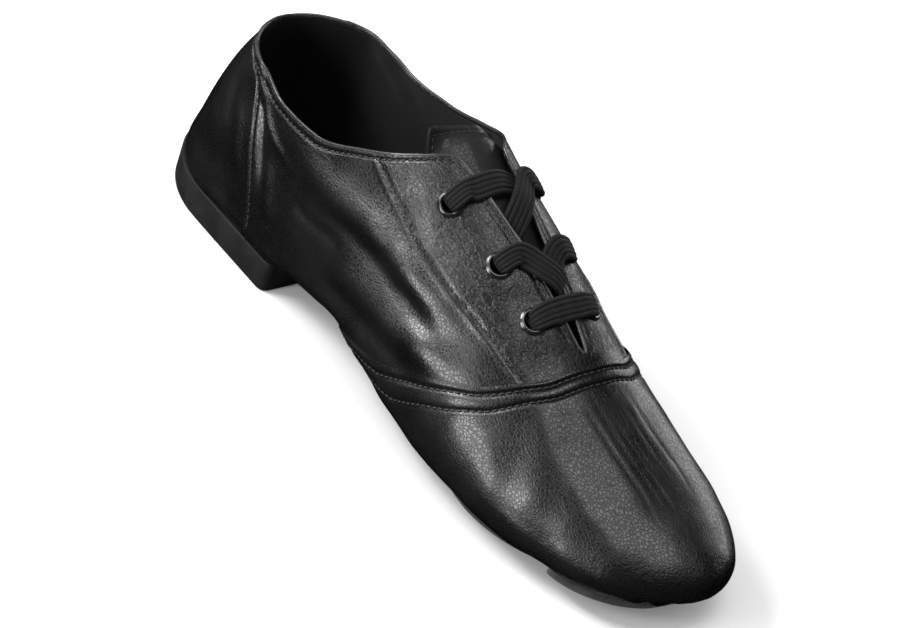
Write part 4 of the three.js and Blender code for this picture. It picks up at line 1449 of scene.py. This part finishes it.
def ribbon(name, route, *nodes):
    """A flat lace, on a route of rows: station, distance from the ridge, height, width and thickness"""
    count = 90
    x, distance, height, widths, depths = catmull(route, count + 1).T
    way = way_from_ridge(x, distance)
    normal = leather(x, way)[1]
    line = last_point(x, turn_of(x, way)) + normal * height[:, None]
    across, up = tube_frame(line, normal)
    piece, u, v = add_grid(name, count, 72)
    i = np.rint(u * count).astype(int)
    sine, cosine = np.sin(2 * math.pi * v), np.cos(2 * math.pi * v)
    wide = widths[i] * LACE_WIDTH / 2 * np.sign(cosine) * np.abs(cosine) ** 0.55
    deep = depths[i] * LACE_THICKNESS / 2 * np.sign(sine) * np.abs(sine) ** 0.8
    flat = wide / np.maximum(widths[i], 0.3)
    cords = np.cos(2 * math.pi * flat * LACE_CORDS / LACE_WIDTH)
    deep += LACE_RIB * cords * np.sign(sine) * smooth(np.abs(sine) / 0.5)
    deep -= LACE_SAG * (2 * wide / LACE_WIDTH) ** 2
    corner = np.zeros(len(piece.data.loops), np.int32)
    piece.data.loops.foreach_get("vertex_index", corner)
    uv = np.column_stack([u[corner] * lengths_along(line)[-1], flat[corner]]) / 10
    piece.data.uv_layers.active.data.foreach_set("uv", uv.astype(np.float32).ravel())
    close_tube(piece, line[i] + across[i] * wide[:, None] + up[i] * deep[:, None], 60)
    return dress(piece, FINISH["lace"], "lace_ribbon", *nodes)


def crossing(row, side, steps):
    """Route of a lace from inside its eyelet over the throat and down under the other facing"""
    edge = throat_edge(EYELET_STATIONS[row])
    start = edge + EYELET_INSET
    full, shift = (1.0, 0.8) if side > 0 else (0.8, 0.0)
    x = EYELET_STATIONS[row] + shift
    route = [
        (x, side * (start + 0.3), -1.5, 0.5, 0.9),
        (x, side * (start + 0.5), 0.2, 0.72 * full, 1.0),
        (x, side * (start - 0.6), OVER_RING - 0.1, 1.0 * full, 1.15),
        (x, side * (start - EYELET_RADIUS), OVER_RING + 0.1, 0.1 + 0.9 * full, 1.05),
        (x + 0.8, side * (start - 7.0), OVER_LEATHER + 0.5, 1, 1.0),
    ]
    for forward, share, height, wide, deep in steps:
        route.append((x - shift + forward, side * edge * share, height, wide, deep))
    return route


# Steps of the lace across the throat: forward from the eyelet, share of the throat's half width, height,
# width and thickness
UNDER_STEPS = (
    (1.2, 0.9, 0.75, 1, 1),
    (1.6, 0.35, 0.2, 1, 1),
    (2.0, -0.3, -0.9, 1, 0.8),
    (2.2, -0.95, -1.95, 1, 0.5),
    (2.4, -1.5, -2.0, 1, 0.4),
)
TOP_OVER_STEPS = (
    (4.2, 1.0, 1.0, 1, 1),
    (8.2, 0.5, 1.15, 1, 1),
    (11.6, 0.05, 0.45, 1, 1),
    (14.2, -0.35, -1.1, 1, 0.8),
    (16.2, -0.75, -2.3, 1, 0.5),
    (17.6, -1.1, -2.5, 0.9, 0.4),
)
MIDDLE_OVER_STEPS = (
    (3.2, 1.0, 0.95, 1, 1),
    (6.4, 0.45, 1.35, 1, 1),
    (9.2, -0.15, 1.2, 1, 1),
    (11.6, -0.65, 0.1, 1, 0.9),
    (13.4, -1.1, -1.6, 1, 0.5),
    (14.4, -1.5, -2.4, 0.9, 0.4),
)
MIDDLE_UNDER_STEPS = (
    (3.2, 1.0, 0.75, 1, 1),
    (5.0, 0.5, 0.4, 1, 1),
    (6.4, 0.0, -0.3, 1, 0.8),
    (7.6, -0.5, -1.5, 1, 0.5),
    (8.4, -1.0, -2.4, 0.9, 0.4),
)


def lace_bar(row):
    """Route of the straight lace over the lowest eyelets"""
    x = EYELET_STATIONS[row]
    edge = throat_edge(x)
    start = edge + EYELET_INSET
    half = [
        (x, start + 0.3, -1.5, 0.5, 0.9),
        (x + 0.06, start + 0.5, 0.2, 0.62, 1.0),
        (x + 0.12, start - 0.6, OVER_RING - 0.1, 0.84, 1.15),
        (x + 0.18, start - EYELET_RADIUS, OVER_RING + 0.1, 0.96, 1.05),
        (x + 0.24, edge + 1.8, OVER_LEATHER + 0.25, 1, 1),
        (x + 0.3, 0.4 * edge, OVER_LEATHER + 0.1, 1, 1),
    ]
    return [(at, -across, *rest) for at, across, *rest in half] + half[::-1]


def laces():
    ribbon("ribbon_top_lateral", crossing(0, -1, UNDER_STEPS), "lace_top")
    ribbon("ribbon_top_medial", crossing(0, 1, TOP_OVER_STEPS), "lace_top")
    ribbon("ribbon_middle_medial", crossing(1, 1, MIDDLE_UNDER_STEPS), "lace_middle")
    ribbon("ribbon_middle_lateral", crossing(1, -1, MIDDLE_OVER_STEPS), "lace_middle")
    ribbon("ribbon_bottom", lace_bar(2), "lace_bottom")


def stitch_shape():
    """One stitch lying along X, and its faces"""
    sizes = bpy.context.scene.shoe_sizes
    add = bpy.ops.mesh.primitive_uv_sphere_add
    pattern = new_piece("Stitch", add, segments=6, ring_count=5, radius=0.5)
    points = np.array([v.co for v in pattern.data.vertices], float)
    faces = [tuple(face.vertices) for face in pattern.data.polygons]
    bpy.data.objects.remove(pattern)
    return points[:, [2, 0, 1]] * [sizes.stitch_length, sizes.thread, 0.8 * sizes.thread], faces


def sew(name, seams, material, slot):
    """Stitches along seams, each given as points and the directions out of the leather"""
    pitch = bpy.context.scene.shoe_sizes.stitch_pitch
    shape, faces = stitch_shape()
    points, all_faces = [], []
    for line, normals in seams:
        lengths = lengths_along(line)
        count = max(2, int(round(lengths[-1] / pitch)))
        centre = (np.arange(count) + 0.5) * lengths[-1] / count
        place, out = read_along(line, lengths, centre), unit(read_along(normals, lengths, centre))
        ahead = unit(read_along(line, lengths, centre + 0.6) - read_along(line, lengths, centre - 0.6))
        across = np.cross(out, ahead)
        for k in range(count):
            all_faces += [tuple(i + len(points) * len(shape) for i in face) for face in faces]
            points.append(place[k] + shape @ np.stack([ahead[k], across[k], out[k]]))
    points = np.concatenate(points)
    mesh = bpy.data.meshes.new(name)
    mesh.from_pydata(points, [], all_faces)
    piece = bpy.data.objects.new(name, mesh)
    bpy.context.scene.collection.objects.link(piece)
    set_points(piece, points)
    edit(piece, turn_out)
    soften(piece, 80)
    return dress(piece, material, slot)


def seam_on(x, way, outset, sink):
    points, normals = leather(x, way, outset)
    return points + normals * sink, normals


def upper_seams():
    """Rows of stitches of both sides: collar, facing, heel seam, vamp and arch"""
    return [seam for side in (-1, 1) for seam in side_seams(side)]


def side_seams(side):
    x = np.concatenate([np.linspace(0, 1, 80) ** 2 * 30, np.linspace(30, THROAT_END - 3, 260)[1:]])
    x = x + (0.5 if side > 0 else 0.0)
    inset = COLLAR_ROW + (EDGE_ROW - COLLAR_ROW) * smooth((x - 100) / 10)
    way = opening(x, side) + inset / girth(x)
    depth = -PANEL_DEPTH * smooth((QUARTER_BACK - x) / 2)
    seams = [leather(x, side * way, depth, -0.1)]
    x = np.linspace(94, vamp_start(side) - 1, 160)
    seams.append(seam_on(x, side * facing_way(x, side), 0.0, -0.14))
    down = np.linspace(0.04, 0.98, 120)
    x = heel_seam(down) + HEEL_SEAM_ROW / HEEL_SEAM_SLANT
    seams.append(seam_on(x, side * way_from_edge(x, side, down, HEEL_SEAM_FOOT), 0.0, -0.05))
    way = side * np.linspace(0.002, 0.998, 260)
    for row in VAMP_ROWS:
        x = vamp_station(way) + row / edge_slant(way)
        seams.append(seam_on(x, way, VAMP_STEP, -0.16))
    x = np.linspace(74, 101, 60)
    for offset in (0.018, 0.034):
        seams.append(seam_on(x, side * np.full(60, 1 - offset), 0.0, -0.05))
    return seams


def vamp_start(side):
    """Station at which the facing's line meets the vamp's edge"""
    x = np.linspace(150, 185, 80)
    gap = np.abs(vamp_station(side * facing_way(x, side)) - x)
    return x[gap.argmin()]


def tongue_seam():
    """The row of stitches up one side of the tongue, across its top and down the other"""
    back = np.linspace(-1, 1, 60)
    left = np.linspace(TONGUE_BACK + 40, TONGUE_BACK + 5, 50)
    top = np.full(60, TONGUE_BACK + EDGE_ROW)
    across = back * (tongue_half(np.array([TONGUE_BACK + 5.0]))[0] - EDGE_ROW - 1)
    x = np.concatenate([left, top, left[::-1]])
    side = tongue_half(left) - EDGE_ROW
    distance = np.concatenate([-side, across, side[::-1]])
    return tongue_place(x, distance, np.full(len(x), -0.15))


def pad_seams():
    """The rows of stitches of the ball pad and the row of the toe pad"""
    angle = np.linspace(0, 2 * math.pi, 400)
    rows = [ball_outline(angle, row) for row in BALL_ROWS]
    key = np.sin(np.linspace(-1, 1, 120) * math.pi / 2)
    rear, front = toe_outline(key, np.zeros(120), TOE_ROW), toe_outline(key[::-1], np.ones(120), TOE_ROW)
    rows.append(np.concatenate([rear, front], axis=1))
    return [pad_points(x, y, np.full(len(x), -0.2)) for x, y in rows]


# The stage

# The photo's angle to the shoe: place in metres, turns in degrees and focal length in millimetres
CAMERA_PLACE = (0.635802, -0.722975, 0.71361)
CAMERA_TURNS = (52.823, -15.7683, 53.0229)
CAMERA_LENS = 150.38
LIGHTS = (
    # name, place, aim, width, height, power, all in metres and watts
    ("Top softbox", (0.2, -0.02, 1.05), (0.05, 0, 0.03), 0.6, 0.42, 3.1),
    ("Left softbox", (-0.54, -0.5, 0.72), (0, 0, 0.03), 0.46, 0.36, 9.0),
    ("Rim softbox", (-0.15, 0.95, 0.2), (0.04, 0, 0.03), 0.6, 0.34, 1.9),
    ("Low strip", (-0.05, -0.94, 0.34), (0.06, 0, 0.03), 0.3, 0.56, 6.0),
    ("Heel softbox", (-0.95, -0.5, 0.36), (-0.1, 0, 0.02), 0.36, 0.3, 1.7),
)


def add_camera():
    data = bpy.data.cameras.new("Camera")
    data.sensor_width = 36
    data.lens = CAMERA_LENS
    data.clip_start, data.clip_end = 0.05, 20
    camera = bpy.data.objects.new("Camera", data)
    camera.location = CAMERA_PLACE
    camera.rotation_euler = [math.radians(turn) for turn in CAMERA_TURNS]
    bpy.context.scene.collection.objects.link(camera)
    bpy.context.scene.camera = camera


def add_light(name, place, aim, width, height, power):
    data = bpy.data.lights.new(name, "AREA")
    data.shape = "RECTANGLE"
    data.size, data.size_y = width, height
    data.energy = power
    light = bpy.data.objects.new(name, data)
    light.location = place
    light.rotation_euler = (Vector(aim) - Vector(place)).to_track_quat("-Z", "Y").to_euler()
    bpy.context.scene.collection.objects.link(light)


def add_floor():
    floor = new_piece("Floor", bpy.ops.mesh.primitive_plane_add, size=12)
    material, tree, bsdf, place = shader("Pale floor", (0.86, 0.86, 0.86), 0.9)
    floor.data.materials.append(material)
    floor.visible_glossy = False
    world = bpy.data.worlds.new("Studio")
    world.use_nodes = True
    world.node_tree.nodes["Background"].inputs[0].default_value = (1, 1, 1, 1)
    world.node_tree.nodes["Background"].inputs[1].default_value = 0.72
    world.cycles_visibility.glossy = False
    bpy.context.scene.world = world
    bpy.context.scene.view_settings.view_transform = "Standard"


# Operators


class SHOE_OT_finishes(bpy.types.Operator):
    """Makes the leathers, cloths, rubber, metal and thread"""

    bl_idname = "shoe.finishes"
    bl_label = "Finishes"

    def execute(self, context):
        make_finishes()
        return {"FINISHED"}


class SHOE_OT_quarters(bpy.types.Operator):
    """Makes the two quarters and the heel panel"""

    bl_idname = "shoe.quarters"
    bl_label = "Quarters and heel panel"

    def execute(self, context):
        quarter(-1)
        quarter(1)
        counter()
        edge_bead()
        return {"FINISHED"}


class SHOE_OT_vamp(bpy.types.Operator):
    """Makes the vamp"""

    bl_idname = "shoe.vamp"
    bl_label = "Vamp"

    def execute(self, context):
        vamp()
        return {"FINISHED"}


class SHOE_OT_inside(bpy.types.Operator):
    """Makes the lining and the sock"""

    bl_idname = "shoe.inside"
    bl_label = "Lining and sock"

    def execute(self, context):
        lining()
        insole()
        return {"FINISHED"}


class SHOE_OT_tongue(bpy.types.Operator):
    """Makes the tongue"""

    bl_idname = "shoe.tongue"
    bl_label = "Tongue"

    def execute(self, context):
        tongue()
        return {"FINISHED"}


class SHOE_OT_sole(bpy.types.Operator):
    """Makes the heel block and the suede pads"""

    bl_idname = "shoe.sole"
    bl_label = "Heel and pads"

    def execute(self, context):
        heel()
        ball_pad()
        toe_pad()
        return {"FINISHED"}


class SHOE_OT_lacing(bpy.types.Operator):
    """Makes the eyelets and runs the lace through them"""

    bl_idname = "shoe.lacing"
    bl_label = "Eyelets and lace"

    def execute(self, context):
        for place in eyelet_places():
            eyelet(place)
        laces()
        return {"FINISHED"}


class SHOE_OT_stitching(bpy.types.Operator):
    """Sews the rows of stitches"""

    bl_idname = "shoe.stitching"
    bl_label = "Stitching"

    def execute(self, context):
        sew("stitches_upper", [*upper_seams(), tongue_seam()], FINISH["thread"], "leather")
        sew("stitches_pads", pad_seams(), FINISH["pad_thread"], "suede")
        return {"FINISHED"}


class SHOE_OT_stage(bpy.types.Operator):
    """Sets up the floor, the lights and the camera"""

    bl_idname = "shoe.stage"
    bl_label = "Floor, lights and camera"

    def execute(self, context):
        add_floor()
        for light in LIGHTS:
            add_light(*light)
        add_camera()
        return {"FINISHED"}


class SHOE_PT_panel(bpy.types.Panel):
    """Lists the sizes, the colours and the steps"""

    bl_idname = "SHOE_PT_panel"
    bl_label = "Jazz shoe"
    bl_space_type = "VIEW_3D"
    bl_region_type = "UI"
    bl_category = "Jazz shoe"

    def draw(self, context):
        layout = self.layout
        for group in (context.scene.shoe_sizes, context.scene.shoe_colours):
            box = layout.box()
            for name in group.__annotations__:
                box.prop(group, name)
        for step in OPERATORS:
            layout.operator(step.bl_idname)


OPERATORS = (
    SHOE_OT_finishes, SHOE_OT_quarters, SHOE_OT_vamp, SHOE_OT_inside, SHOE_OT_tongue,
    SHOE_OT_sole, SHOE_OT_lacing, SHOE_OT_stitching, SHOE_OT_stage,
)
CLASSES = (ShoeSizes, ShoeColours, *OPERATORS, SHOE_PT_panel)


def register():
    for item in CLASSES:
        bpy.utils.register_class(item)
    bpy.types.Scene.shoe_sizes = bpy.props.PointerProperty(type=ShoeSizes)
    bpy.types.Scene.shoe_colours = bpy.props.PointerProperty(type=ShoeColours)


def unregister():
    del bpy.types.Scene.shoe_colours
    del bpy.types.Scene.shoe_sizes
    for item in reversed(CLASSES):
        bpy.utils.unregister_class(item)


def main():
    register()
    bpy.ops.shoe.finishes()
    bpy.ops.shoe.quarters()
    bpy.ops.shoe.vamp()
    bpy.ops.shoe.inside()
    bpy.ops.shoe.tongue()
    bpy.ops.shoe.sole()
    bpy.ops.shoe.lacing()
    bpy.ops.shoe.stitching()
    bpy.ops.shoe.stage()


if __name__ == "__main__":
    main()
